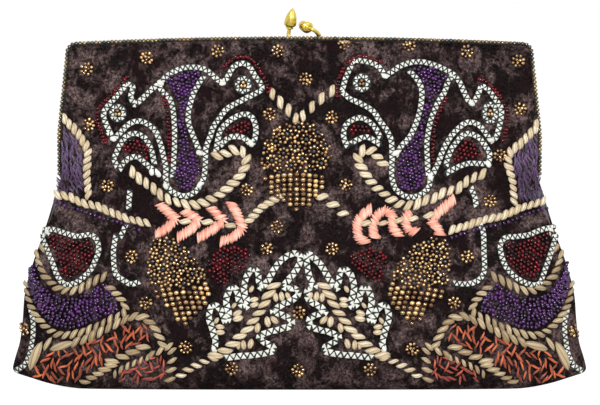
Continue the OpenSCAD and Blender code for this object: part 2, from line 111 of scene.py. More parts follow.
class Value:
    """A number in a node tree; arithmetic on it adds Math nodes."""

    def __init__(self, graph, socket):
        self.graph = graph
        self.socket = socket

    def _with(self, operation, first, second):
        return self.graph.out("ShaderNodeMath", {"operation": operation}, {0: first, 1: second})

    def __add__(self, other):
        return self._with("ADD", self, other)

    def __radd__(self, other):
        return self._with("ADD", other, self)

    def __sub__(self, other):
        return self._with("SUBTRACT", self, other)

    def __rsub__(self, other):
        return self._with("SUBTRACT", other, self)

    def __mul__(self, other):
        return self._with("MULTIPLY", self, other)

    def __rmul__(self, other):
        return self._with("MULTIPLY", other, self)

    def __mod__(self, other):
        return self._with("FLOORED_MODULO", self, other)

    def __pow__(self, other):
        return self._with("POWER", self, other)

    def sine(self):
        return self._with("SINE", self, 0.0)

    def most(self, other):
        return self._with("MAXIMUM", self, other)


class Graph:
    """A node tree that is written as calls."""

    def __init__(self, tree):
        self.tree = tree

    def node(self, kind, settings=None, inputs=None):
        made = self.tree.nodes.new(kind)
        for name, value in (settings or {}).items():
            setattr(made, name, value)
        for name, value in (inputs or {}).items():
            socket = made.inputs[name]
            if isinstance(value, Value):
                self.tree.links.new(value.socket, socket)
            else:
                socket.default_value = value
        return made

    def out(self, kind, settings=None, inputs=None, output=0):
        return Value(self, self.node(kind, settings, inputs).outputs[output])

    def blend(self, share, first, second):
        """Colour between first and second."""
        made = self.node("ShaderNodeMix", {"data_type": "RGBA"})
        for index, value in ((MIX_SHARE, share), (MIX_FIRST, first), (MIX_SECOND, second)):
            if isinstance(value, Value):
                self.tree.links.new(value.socket, made.inputs[index])
            elif index == MIX_SHARE:
                made.inputs[index].default_value = value
            else:
                made.inputs[index].default_value = (*value[:3], 1)
        return Value(self, made.outputs[MIX_COLOUR])

    def ranged(self, value, low, high, to_low=0.0, to_high=1.0):
        """The value's place between low and high, eased at both ends."""
        return self.out("ShaderNodeMapRange", {"interpolation_type": "SMOOTHSTEP"},
                        {"Value": value, "From Min": low, "From Max": high,
                         "To Min": to_low, "To Max": to_high})


def srgb(r, g, b):
    """Colour written as it looks on a screen, 0 to 255."""
    shares = [c / 255 for c in (r, g, b)]
    return tuple(c / 12.92 if c <= 0.04045 else ((c + 0.055) / 1.055) ** 2.4 for c in shares)


def new_material(name):
    material = bpy.data.materials.new(name)
    material.use_nodes = True
    material.node_tree.nodes.clear()
    return material, Graph(material.node_tree)


def finish_material(material, g, **sockets):
    """Principled shader with the given sockets, whose names are written with underscores."""
    inputs = {name.replace("_", " "): value for name, value in sockets.items()}
    for name, value in inputs.items():
        if isinstance(value, tuple) and len(value) == 3:
            inputs[name] = (*value, 1)
    shader = g.out("ShaderNodeBsdfPrincipled", None, inputs)
    g.node("ShaderNodeOutputMaterial", None, {"Surface": shader})
    return material


def object_place(g):
    return g.out("ShaderNodeTexCoord", None, None, "Object")


def grain(g, scale, detail=3.0, rough=0.55, stretch=None, warp=0.0):
    """Noise that is fixed to the piece; a stretch below 1 along an axis makes it longer that way."""
    vector = object_place(g)
    if stretch:
        vector = g.out("ShaderNodeMapping", None, {"Vector": vector, "Scale": stretch})
    return g.out("ShaderNodeTexNoise", None, {"Vector": vector, "Scale": scale, "Detail": detail,
                                              "Roughness": rough, "Distortion": warp})


def bump(g, height, strength, distance):
    return g.out("ShaderNodeBump", None, {"Strength": strength, "Distance": distance, "Height": height})


def tone(g, name="tone"):
    """A number that each stitch or bead carries."""
    return g.out("ShaderNodeAttribute", {"attribute_name": name}, None, "Fac")


# Materials

def crushed_velvet(name, deep, pale, blotch):
    """Pile that lies this way and that: near-black, with greyed patches where it is pressed."""
    material, g = new_material(name)
    broad = grain(g, 75.0, rough=0.6, warp=0.6)
    patch = grain(g, 190.0, detail=4.0, rough=0.74, stretch=(1.0, 1.0, 0.8), warp=0.5)
    fine = grain(g, 1000.0, rough=0.8)
    pressed = g.ranged(broad * 0.45 + patch * 0.55, 0.46, 0.64)
    speckle = g.ranged(fine, 0.36, 0.66)
    colour = g.blend((0.06 + 0.94 * pressed) * (0.1 + 1.1 * speckle), deep, pale)
    faded = g.ranged(grain(g, 90.0, detail=2.0), 0.5, 0.6, 0.0, 0.4)
    pile = patch * 0.5 + fine * 0.5
    return finish_material(
        material, g, Base_Color=g.blend(faded, colour, blotch), Roughness=0.85,
        Normal=bump(g, pile, strength=0.6, distance=0.6 * MM), Sheen_Weight=0.02, Sheen_Roughness=0.4,
        Sheen_Tint=srgb(190, 170, 180), Specular_IOR_Level=0.04)


def satin(name, colour, light):
    """Smooth weave, with painted sheen: lighter in long streaks that stand for light caught along soft
    folds.
    """
    material, g = new_material(name)
    weave = g.out("ShaderNodeTexWave", {"bands_direction": "X"},
                  {"Vector": object_place(g), "Scale": 900.0, "Distortion": 1.2, "Detail": 1.0})
    folds = grain(g, 30.0, rough=0.5, stretch=(1.0, 1.0, 0.3))
    # Painted sheen: the colour lightens towards the second colour along the stretched noise
    shade = g.blend(g.ranged(folds, 0.35, 0.7), colour, light)
    return finish_material(
        material, g, Base_Color=shade, Roughness=0.36 + folds * 0.2,
        Normal=bump(g, weave, strength=0.25, distance=0.2 * MM), Sheen_Weight=0.2)


def buckram(name, dark, light):
    """Stiff card of pressed fibres."""
    material, g = new_material(name)
    fibre = grain(g, 700.0, rough=0.6)
    return finish_material(
        material, g, Base_Color=g.blend(g.ranged(fibre, 0.3, 0.7), dark, light), Roughness=0.9,
        Normal=bump(g, fibre, strength=0.3, distance=0.2 * MM))


def brass(name, colour, worn, polish):
    """Gold-coloured metal, brushed very finely and a little darker where hands reach less."""
    material, g = new_material(name)
    haze = grain(g, 260.0, detail=4.0, rough=0.6)
    spots = grain(g, 90.0, rough=0.5)
    return finish_material(
        material, g, Base_Color=g.blend(g.ranged(spots, 0.5, 0.75), colour, worn), Metallic=1.0,
        Roughness=polish + haze * 0.16, Normal=bump(g, haze, strength=0.12, distance=0.1 * MM))


def glass_beads(name, dark, light, tint, metal, polish, gleam=0.9):
    """Seed beads: each takes its own tone, some are tinted, and all have painted shade inside the bore."""
    material, g = new_material(name)
    own = tone(g)
    shade = g.blend(own ** 1.4, dark, light)
    tinted = g.ranged(own * 7.0 % 1.0, 0.72, 0.8)
    shade = g.blend(tinted, shade, g.blend(0.5, shade, tint))
    # Painted shade inside each bead's bore
    shade = g.blend(g.ranged(tone(g, "bore"), 0.2, 1.0), shade, BORE_SHADE)
    cloud = grain(g, 1200.0, detail=1.0)
    return finish_material(
        material, g, Base_Color=shade, Metallic=metal, Roughness=polish + cloud * 0.12,
        Coat_Weight=0.7 * gleam, Coat_Roughness=0.06, Specular_IOR_Level=gleam)


def spun_thread(name, dark, light, crease_shade, threads, gloss, sheen=0.2, stripes=0.55):
    """Silk or cotton laid in stitches: fine threads along each, with painted shade between them and at its
    ends.
    """
    material, g = new_material(name)
    parts = g.node("ShaderNodeSeparateXYZ", None, {0: g.out("ShaderNodeUVMap", {"uv_map": "UVMap"})})
    along, around = Value(g, parts.outputs["X"]), Value(g, parts.outputs["Y"])
    stripe = ((around * threads + along * 0.8) * (2 * math.pi)).sine() * 0.5 + 0.5
    fuzz = grain(g, 1500.0, detail=2.0, rough=0.6)
    shade = g.blend(g.ranged(tone(g) * 0.7 + fuzz * 0.4, 0.1, 0.95), dark, light)
    # Painted shade in the grooves between the fine threads
    shade = g.blend(g.ranged(stripe, 0.35, 0.0, 0.0, stripes), shade, crease_shade)
    # Painted shade towards both ends, where the stitch goes down into the cloth
    ends = g.ranged((along - 0.5) * (along - 0.5), 0.16, 0.25)
    shade = g.blend(ends * stripes, shade, crease_shade)
    return finish_material(
        material, g, Base_Color=shade, Roughness=gloss + fuzz * 0.15,
        Normal=bump(g, stripe + fuzz * 0.4, strength=0.6, distance=0.2 * MM), Sheen_Weight=sheen)


def plain_thread(name, dark, light):
    """Matt cotton without stripes."""
    material, g = new_material(name)
    fibre = grain(g, 1400.0, rough=0.7)
    return finish_material(
        material, g, Base_Color=g.blend(g.ranged(fibre, 0.35, 0.7), dark, light), Roughness=0.7,
        Normal=bump(g, fibre, strength=0.5, distance=0.3 * MM), Sheen_Weight=0.1)


def make_materials():
    return {
        "velvet": crushed_velvet("velvet", srgb(8, 4, 5), srgb(120, 100, 98), srgb(30, 16, 18)),
        # The lining's lighter second colour is painted sheen along its folds
        "lining": satin("lining", srgb(48, 40, 46), srgb(84, 74, 82)),
        "card": buckram("card", srgb(196, 186, 166), srgb(222, 214, 198)),
        "frame": brass("frame_brass", srgb(214, 172, 84), srgb(150, 112, 52), polish=0.24),
        "clasp": brass("clasp_brass", srgb(222, 196, 96), srgb(178, 148, 62), polish=0.13),
        "rivet": brass("rivet_brass", srgb(190, 150, 76), srgb(128, 96, 44), polish=0.3),
        "edging": glass_beads("edging_beads", srgb(36, 30, 18), srgb(146, 116, 64), srgb(62, 70, 50),
                              metal=0.5, polish=0.14),
        "bronze": glass_beads("bronze_beads", srgb(104, 70, 44), srgb(250, 208, 144), srgb(140, 108, 80),
                              metal=0.85, polish=0.08),
        "inky": glass_beads("inky_beads", srgb(8, 10, 16), srgb(30, 34, 42), srgb(24, 20, 40),
                            metal=0.3, polish=0.12),
        "purple": glass_beads("purple_beads", srgb(24, 6, 32), srgb(96, 36, 116), srgb(46, 16, 64),
                              metal=0.2, polish=0.08, gleam=0.5),
        "garnet": glass_beads("garnet_beads", srgb(30, 1, 5), srgb(122, 8, 24), srgb(56, 2, 14),
                              metal=0.2, polish=0.08, gleam=0.3),
        # The third colour of each spun thread is painted shade between its threads and at its ends
        "ivory": spun_thread("ivory_braid", srgb(220, 221, 210), srgb(246, 246, 238), srgb(184, 186, 172),
                             threads=1, gloss=0.6, sheen=0.1, stripes=0.2),
        "couching": plain_thread("couching_thread", srgb(8, 18, 16), srgb(26, 44, 38)),
        "cream": spun_thread("cream_cord", srgb(212, 190, 152), srgb(244, 228, 196), srgb(128, 102, 72),
                             threads=6, gloss=0.4),
        "tan": spun_thread("tan_cord", srgb(160, 136, 98), srgb(206, 184, 144), srgb(84, 62, 40),
                           threads=6, gloss=0.4),
        "coral": spun_thread("coral_floss", srgb(240, 148, 124), srgb(255, 200, 176), srgb(190, 96, 78),
                             threads=3, gloss=0.4),
        "orange": spun_thread("orange_floss", srgb(124, 44, 20), srgb(226, 110, 58), srgb(48, 16, 10),
                              threads=3, gloss=0.38),
        "brick": spun_thread("brick_floss", srgb(126, 36, 24), srgb(212, 92, 60), srgb(52, 14, 12),
                             threads=3, gloss=0.38),
        "violet": spun_thread("violet_floss", srgb(32, 14, 38), srgb(96, 58, 110), srgb(18, 8, 22),
                              threads=4, gloss=0.36),
    }


# The bag's surfaces

def frame_edge(length, inset):
    """Point of the frame's outer edge at that length from the middle of its top bar: x, z and heading."""
    x, z, heading = 0.0, BAG_H - inset, 0.0
    # The last stretch is longer than any arm goes on below its bend
    for r, turn, straight in ((TOP_R, CROWN_TURN, 0), (CORNER_R, CORNER_TURN, 0), (0, 0, ARM_STRAIGHT),
                              (ARM_BEND_R, ARM_TURN, 0), (0, 0, BAG_H)):
        whole = straight or max(r - inset, 0.01) * turn
        part = min(length, whole)
        if straight:
            x, z = x + part * math.cos(heading), z - part * math.sin(heading)
        else:
            after = heading + turn * part / whole
            x += (r - inset) * (math.sin(after) - math.sin(heading))
            z -= (r - inset) * (math.cos(heading) - math.cos(after))
            heading = after
        length -= part
        if length <= 0:
            break
    return x, z, heading


def arm_length(inset, z):
    """Length of the frame's edge from the middle of its top bar down to that height."""
    return ((TOP_R - inset) * CROWN_TURN + (CORNER_R - inset) * CORNER_TURN
            + (ARM_BEND_R - inset) * ARM_TURN + ARM_STRAIGHT + ARM_END_Z - z)


def edge_half_width(z):
    """Half of the frame's width at that height, where the arm's bend is taken as a parabola."""
    top = ARM_END_Z + ARM_BEND_R * math.sin(ARM_TURN)
    bend = ARM_BEND_R * (1 - math.cos(ARM_TURN))
    if z < ARM_END_Z:
        return ARM_X
    if z < top:
        return ARM_X - bend * ((z - ARM_END_Z) / (top - ARM_END_Z)) ** 2
    return ARM_X - bend - (z - top) * math.tan(ARM_TURN)


def clamp(t):
    return max(0.0, min(1.0, t))


def belly(s, softness):
    """How full the cloth is at that share of its half width: 1 in the middle and 0 at the side."""
    return (1 - min(1, abs(s)) ** BELLY_POWER) ** softness


def pouch_point(s, row):
    share, mid, side, width = row
    softness = LOW_SOFTNESS + ADDED_SOFTNESS * clamp((mid - SOFTER_FROM) / SOFTER_OVER)
    lift = clamp((abs(s) - SEAM_RISE_FROM) / SEAM_RISE_OVER) ** SEAM_RISE_POWER
    return (s * width * BAG_W / 2, -share * BAG_D / 2 * belly(s, softness),
            HINGE_Z * (mid + (side - mid) * lift))


def bulge_at(z):
    t = (z - UPPER_LOW) / (BAG_H - WRAP_INSET - UPPER_LOW)
    return float(np.interp(t, [r[0] for r in UPPER_ROWS], [r[1] for r in UPPER_ROWS]))


def upper_point(s, t, inset):
    top = BAG_H - inset
    corner = max(0.4, CORNER_R - inset)
    z = UPPER_LOW + (top - UPPER_LOW) * t
    end_z = z - CROWN_DROP * t
    rounding = clamp(1 + (end_z - top + CROWN_DROP) / corner)
    half = edge_half_width(end_z) - inset - corner * (1 - math.sqrt(1 - rounding * rounding))
    free = edge_half_width(z) - FLANGE_INSET - 1
    x = s * half
    return (x, -CLOTH_FRONT - bulge_at(z) * belly(abs(x) / free, UPPER_SOFTNESS),
            z - CROWN_DROP * s * s * t)


def through(points, count):
    """Smooth rows through the given rows of points, evenly spaced along the middle column."""
    points = np.array(points, float)
    middle = points[:, points.shape[1] // 2]
    knots = np.concatenate([[0], np.cumsum(np.linalg.norm(np.diff(middle, axis=0), axis=1))])
    places = np.linspace(0, knots[-1], count)
    slopes = np.gradient(points, knots, axis=0)
    i = np.clip(np.searchsorted(knots, places, side="right") - 1, 0, len(knots) - 2)
    h = (knots[i + 1] - knots[i])[:, None, None]
    t = ((places - knots[i]) / (knots[i + 1] - knots[i]))[:, None, None]
    return ((2 * t**3 - 3 * t**2 + 1) * points[i] + (t**3 - 2 * t**2 + t) * h * slopes[i]
            + (3 * t**2 - 2 * t**3) * points[i + 1] + (t**3 - t**2) * h * slopes[i + 1])


def half_surface(columns, rows, inset, first_row=0, last_share=1.0, margin=0.0):
    """Front surface of the whole bag from the bottom seam to the top bar, as rows of points in mm."""
    # Columns stand closer towards the sides, where the cloth curves most
    shares = [(1 - margin) * (0.55 * k + 0.45 * math.sin(math.pi / 2 * k))
              for k in np.linspace(-1, 1, columns)]
    upper = [t for t, _ in UPPER_ROWS if t < last_share] + [last_share]
    sections = [[pouch_point(s, row) for s in shares] for row in POUCH_ROWS[first_row:]]
    sections += [[upper_point(s, t, inset) for s in shares] for t in upper]
    grid = through(sections, rows)
    grid[:, :, 1] = np.minimum(grid[:, :, 1], 0)
    return grid


def grid_normals(grid):
    across = np.gradient(grid, axis=1)
    up = np.gradient(grid, axis=0)
    normals = np.cross(across, up)
    length = np.linalg.norm(normals, axis=2, keepdims=True)
    return normals / np.maximum(length, 1e-9)


def sunk(grid, depth, seam=0.02):
    """The rows moved inwards, on their own side of the middle plane."""
    moved = grid - depth * grid_normals(grid)
    moved[:, :, 1] = np.minimum(moved[:, :, 1], -seam)
    return moved


def ripple(grid, width, seed):
    """Noise of about -1 to 1 at every point of a grid; each seed reads it somewhere else."""
    shift = Vector((seed * 7.3, seed * 3.1, seed * 5.7))
    fading, finer, octaves = 0.8, 2.0, 2
    values = [noise.fractal(Vector(p) / width + shift, fading, finer, octaves) for p in grid.reshape(-1, 3)]
    return np.array(values).reshape(grid.shape[:2])


def sheet_between(name, outer, inner, back=False):
    """Closed sheet between two grids of points in mm; for the back it is turned over in Y."""
    rows, cols = outer.shape[:2]
    count = rows * cols
    points = np.concatenate([outer.reshape(-1, 3), inner.reshape(-1, 3)]) * MM
    index = np.arange(count).reshape(rows, cols)
    a, b, c, d = index[:-1, :-1], index[:-1, 1:], index[1:, 1:], index[1:, :-1]
    face = np.stack([a, b, c, d], -1).reshape(-1, 4)
    quads = [face, face[:, ::-1] + count]
    border = np.concatenate([index[0, :], index[1:, -1], index[-1, -2::-1], index[-2:0:-1, 0]])
    after = np.roll(border, -1)
    quads.append(np.stack([after, border, border + count, after + count], -1))
    faces = np.concatenate(quads)
    if back:
        points = points * np.array([1, -1, 1])
        faces = faces[:, ::-1]
    mesh = bpy.data.meshes.new(name)
    mesh.from_pydata(points.tolist(), [], faces.tolist())
    mesh.validate()
    mesh.shade_smooth()
    made = bpy.data.objects.new(name, mesh)
    bpy.context.scene.collection.objects.link(made)
    return made


def joined(name, objects):
    """One mesh object from several."""
    with bpy.context.temp_override(active_object=objects[0], selected_editable_objects=objects):
        bpy.ops.object.join()
    objects[0].name = name
    return objects[0]


# Paths from the photograph's frame onto the velvet

def photo_ray(x, y):
    """Direction from the camera through a point of the photograph's frame."""
    up = Vector((0, math.sin(ELEVATION), math.cos(ELEVATION)))
    right = Vector((1, 0, 0))
    way = -BACK * LENS
    way += right * ((x - PHOTO_SIZE[0] / 2) / PHOTO_SIZE[0] * SENSOR)
    way += up * ((PHOTO_SIZE[1] / 2 - y) / PHOTO_SIZE[0] * SENSOR)
    return way.normalized()


class Cloth:
    """The front velvet that embroidery is laid on."""

    def __init__(self, grid):
        self.grid = grid * MM
        rows, cols = grid.shape[:2]
        index = np.arange(rows * cols).reshape(rows, cols)
        faces = np.stack([index[:-1, :-1], index[:-1, 1:], index[1:, 1:], index[1:, :-1]], -1).reshape(-1, 4)
        self.tree = BVHTree.FromPolygons(self.grid.reshape(-1, 3).tolist(), faces.tolist())
        # Directions come from a smoothed copy, so that stitches don't tilt with each ripple
        soft = grid.copy()
        passes = 6
        for _ in range(passes):
            soft[1:-1, 1:-1] = (soft[:-2, 1:-1] + soft[2:, 1:-1] + soft[1:-1, :-2] + soft[1:-1, 2:]) / 4
        self.normals = grid_normals(soft)
        self.cols = cols
        self.eye = TARGET + BACK * DISTANCE

    def at(self, x, y):
        """Point on the cloth seen at x, y of the photograph's frame, and the cloth's direction there."""
        hit, _, face, _ = self.tree.ray_cast(self.eye, photo_ray(x, y))
        if hit is None:
            hit, _, face, _ = self.tree.find_nearest(self.eye + photo_ray(x, y) * DISTANCE)
        row, col = divmod(face, self.cols - 1)
        return hit, Vector(self.normals[row, col])


def smooth_path(points, step=0.7):
    """Points every step along a smooth line; a point that is given twice is a sharp corner."""
    runs, run = [], [points[0]]
    for p in points[1:]:
        if p == run[-1]:
            runs.append(run)
            run = [p]
        else:
            run.append(p)
    runs.append(run)
    line = []
    for run in runs:
        if len(run) < 2:
            continue
        p = np.array(run, float)
        p = np.vstack([2 * p[0] - p[1], p, 2 * p[-1] - p[-2]])
        for i in range(1, len(p) - 2):
            n = max(2, int(np.linalg.norm(p[i + 1] - p[i]) / step))
            for t in np.linspace(0, 1, n, endpoint=False):
                line.append(0.5 * (2 * p[i] + (p[i + 1] - p[i - 1]) * t
                                   + (2 * p[i - 1] - 5 * p[i] + 4 * p[i + 1] - p[i + 2]) * t**2
                                   + (3 * p[i] - p[i - 1] - 3 * p[i + 1] + p[i + 2]) * t**3))
        line.append(p[-2])
    return np.array(line)


def lined_up(line, count):
    """The same line in a given number of even steps."""
    gaps = np.linalg.norm(np.diff(line, axis=0), axis=1)
    along = np.concatenate([[0], np.cumsum(gaps)])
    places = np.linspace(0, along[-1], count)
    return np.stack([np.interp(places, along, line[:, k]) for k in range(2)], -1)


def line_length(line):
    return float(np.linalg.norm(np.diff(line, axis=0), axis=1).sum())


def mirrored(points):
    """The same points on the other half of the photograph's frame."""
    return [(MIDDLE_X * 2 - x, y) for x, y in points]


def carrier(name, runs, attributes):
    """Mesh of separate lines, or of loose points where a run has one, that carries the attributes."""
    points, edges = [], []
    for run in runs:
        start = len(points)
        points += [tuple(p) for p in run]
        edges += [(start + i, start + i + 1) for i in range(len(run) - 1)]
    mesh = bpy.data.meshes.new(name)
    mesh.from_pydata(points, edges, [])
    for key, values in attributes.items():
        flat = np.array(values, np.float32)
        kind, field = ("FLOAT_VECTOR", "vector") if flat.ndim == 2 else ("FLOAT", "value")
        mesh.attributes.new(key, kind, "POINT").data.foreach_set(field, flat.ravel())
    made = bpy.data.objects.new(name, mesh)
    bpy.context.scene.collection.objects.link(made)
    return made


# Stitches and beads that geometry nodes lay

def unit_from(name, points, faces, uvs=None):
    """Object of about unit size that is only seen where geometry nodes lay it."""
    mesh = bpy.data.meshes.new(name)
    mesh.from_pydata(points, [], faces)
    if uvs:
        layer = mesh.uv_layers.new(name="UVMap")
        layer.data.foreach_set("uv", np.array(uvs, np.float32).ravel())
    mesh.shade_smooth()
    made = bpy.data.objects.new(name, mesh)
    made.hide_render = True
    return made


def stitch_unit(name, width, height, sides=8, rings=8, fullness=0.5, curl=0.0):
    """One stitch of unit length along X: plump, pointed at its ends, which go down into the cloth."""
    points, faces, uvs = [], [], []
    last = rings - 1
    for i in range(rings):
        t = i / last
        swell = max(0.0, math.sin(math.pi * t)) ** fullness
        middle = curl * math.sin(2 * math.pi * t) * 0.5
        rise = height * (0.52 * swell - 0.16)
        for k in range(sides):
            a = 2 * math.pi * k / sides
            points.append((t - 0.5, middle + width / 2 * swell * math.cos(a),
                           rise + height / 2 * swell * math.sin(a)))
    for i in range(last):
        for k in range(sides):
            a, b = i * sides + k, i * sides + (k + 1) % sides
            faces.append((a, a + sides, b + sides, b))
            uvs += [(u / last, v / sides) for u, v in ((i, k), (i + 1, k), (i + 1, k + 1), (i, k + 1))]
    return unit_from(name, points, faces, uvs)


def curled_pair(name, width, height, curl):
    """A rope's stitch that curls one way, and its like that curls the other way."""
    return [stitch_unit(side + name, width, height, fullness=0.6, curl=way)
            for side, way in (("", curl), ("left_", -curl))]


def block_unit(name, wide=1.0):
    """One plump wedge of the braid, its point towards the braid's middle and its wide end outwards."""
    foot, shoulder, bevel, crown = -0.14, 0.06, 0.17, 0.2
    side = [(0.41, 0.37), (0.33, 0.42), (0.15, 0.33), (-0.1, 0.21), (-0.3, 0.11), (-0.42, 0.04)]
    outline = [(0.42, 0.0)] + side + [(x, -y) for x, y in reversed(side)]
    outline = [(x, y * wide) for x, y in outline]
    n = len(outline)
    points = [(x, y, foot) for x, y in outline] + [(x, y, shoulder) for x, y in outline]
    points += [(x * 0.76 + 0.03, y * 0.72, bevel) for x, y in outline] + [(0.08, 0.0, crown)]
    faces = [(j * n + i, j * n + (i + 1) % n, (j + 1) * n + (i + 1) % n, (j + 1) * n + i)
             for j in range(2) for i in range(n)]
    faces += [(2 * n + i, 2 * n + (i + 1) % n, 3 * n) for i in range(n)]
    faces.append(tuple(range(n - 1, -1, -1)))
    # A stretch of the thread's pattern that is clear of the painted shade at its ends
    places = [points[k] for face in faces for k in face]
    uvs = [(0.3 + 0.4 * (x + 0.5), 0.1 + 0.2 * (y + 0.5)) for x, y, _ in places]
    return unit_from(name, points, faces, uvs)


def bead_unit(name, long, bore, sides=8):
    """One seed bead across unit width, with its bore along X."""
    profile = [(-long * 0.49, bore), (-long * 0.36, 0.39), (0.0, 0.495), (long * 0.36, 0.39),
               (long * 0.49, bore)]
    turns = [2 * math.pi * k / sides for k in range(sides)]
    points = [(x, r * math.cos(a), r * math.sin(a)) for x, r in profile for a in turns]
    n = len(profile)
    faces = [((i + 1) % n * sides + k, (i + 1) % n * sides + (k + 1) % sides, i * sides + (k + 1) % sides,
              i * sides + k) for i in range(n) for k in range(sides)]
    made = unit_from(name, points, faces)
    in_bore = [1.0 if i in (0, n - 1) else 0.0 for i in range(n) for _ in range(sides)]
    made.data.attributes.new("bore", "FLOAT", "POINT").data.foreach_set("value", in_bore)
    return made


def graph_inputs(tree, inputs):
    for name, kind, value in inputs:
        socket = tree.interface.new_socket(name, in_out="INPUT", socket_type="NodeSocket" + kind)
        if value is not None:
            socket.default_value = value
    tree.interface.new_socket("Geometry", in_out="OUTPUT", socket_type="NodeSocketGeometry")


def vector_node(g, operation, inputs):
    return g.out("ShaderNodeVectorMath", {"operation": operation}, inputs)


def laid_tree():
    """Lays a unit along lines or on points, with the pitch, side, turn and size that its inputs give."""
    tree = bpy.data.node_groups.new("laid_stitches", "GeometryNodeTree")
    graph_inputs(tree, [
        ("Geometry", "Geometry", None), ("Unit", "Object", None), ("Along lines", "Bool", True),
        ("Pitch", "Float", 0.002), ("Side", "Float", 0.0), ("Lift", "Float", 0.0), ("Turn", "Float", 0.0),
        ("Mirror turns", "Bool", False), ("Turn jitter", "Float", 0.0), ("Roll jitter", "Float", 0.0),
        ("Size", "Float", 0.002), ("Size jitter", "Float", 0.0), ("Seed", "Int", 1),
        ("Material", "Material", None)])
    g = Graph(tree)
    given = g.node("NodeGroupInput").outputs

    def value(name):
        return Value(g, given[name])

    def named(name, kind="FLOAT_VECTOR"):
        return g.out("GeometryNodeInputNamedAttribute", {"data_type": kind}, {"Name": name})

    def chance(low, high, draw):
        """Random number for each unit; every draw has its own number, so that no two are alike."""
        return g.out("FunctionNodeRandomValue", {"data_type": "FLOAT"},
                     {RANDOM_LOW: low, RANDOM_HIGH: high, "Seed": value("Seed") + draw}, RANDOM_FLOAT)

    turn_draw, roll_draw, size_draw, tone_draw = 3, 5, 7, 11
    curve = g.out("GeometryNodeMeshToCurve", None, {"Mesh": value("Geometry")})
    even = g.out("GeometryNodeResampleCurve", {"mode": "LENGTH", "keep_last_segment": True},
                 {"Curve": curve, "Length": value("Pitch")})
    lines = g.out("GeometryNodeStoreNamedAttribute", {"data_type": "FLOAT_VECTOR", "domain": "POINT"},
                  {"Geometry": even, "Name": "along", "Value": g.out("GeometryNodeInputTangent")})
    spots = g.out("GeometryNodeSwitch", {"input_type": "GEOMETRY"},
                  {"Switch": value("Along lines"), "False": value("Geometry"), "True": lines})
    # Every second unit goes to the other side of its line
    sign = g.out("GeometryNodeInputIndex") % 2.0 * 2.0 - 1.0
    up, along = named("up"), named("along")
    across = vector_node(g, "CROSS_PRODUCT", {0: up, 1: along})
    aside = vector_node(g, "SCALE", {0: across, "Scale": sign * value("Side")})
    raised = vector_node(g, "SCALE", {0: up, "Scale": value("Lift")})
    moved = g.out("GeometryNodeSetPosition", None,
                  {"Geometry": spots, "Offset": vector_node(g, "ADD", {0: aside, 1: raised})})
    facing = g.out("FunctionNodeAxesToRotation", {"primary_axis": "Z", "secondary_axis": "X"},
                   {"Primary Axis": up, "Secondary Axis": along})
    flip = g.out("GeometryNodeSwitch", {"input_type": "FLOAT"},
                 {"Switch": value("Mirror turns"), "False": 1.0, "True": sign})
    turn = flip * value("Turn") + chance(-1.0, 1.0, turn_draw) * value("Turn jitter")
    roll = chance(-1.0, 1.0, roll_draw) * value("Roll jitter")
    local = g.out("FunctionNodeEulerToRotation", None,
                  {0: g.out("ShaderNodeCombineXYZ", None, {"X": roll, "Y": 0.0, "Z": turn})})
    rotation = g.out("FunctionNodeRotateRotation", {"rotation_space": "LOCAL"},
                     {"Rotation": facing, "Rotate By": local})
    unit = g.out("GeometryNodeObjectInfo", None, {"Object": value("Unit")}, "Geometry")
    varied = 1.0 + chance(-1.0, 1.0, size_draw) * value("Size jitter")
    laid = g.out("GeometryNodeInstanceOnPoints", None,
                 {"Points": moved, "Instance": unit, "Rotation": rotation,
                  "Scale": value("Size") * named("size", "FLOAT") * varied})
    toned = g.out("GeometryNodeStoreNamedAttribute", {"data_type": "FLOAT", "domain": "INSTANCE"},
                  {"Geometry": laid, "Name": "tone", "Value": chance(0.0, 1.0, tone_draw)})
    real = g.out("GeometryNodeRealizeInstances", None, {"Geometry": toned})
    done = g.out("GeometryNodeSetMaterial", None, {"Geometry": real, "Material": value("Material")})
    g.node("NodeGroupOutput", None, {0: done})
    return tree


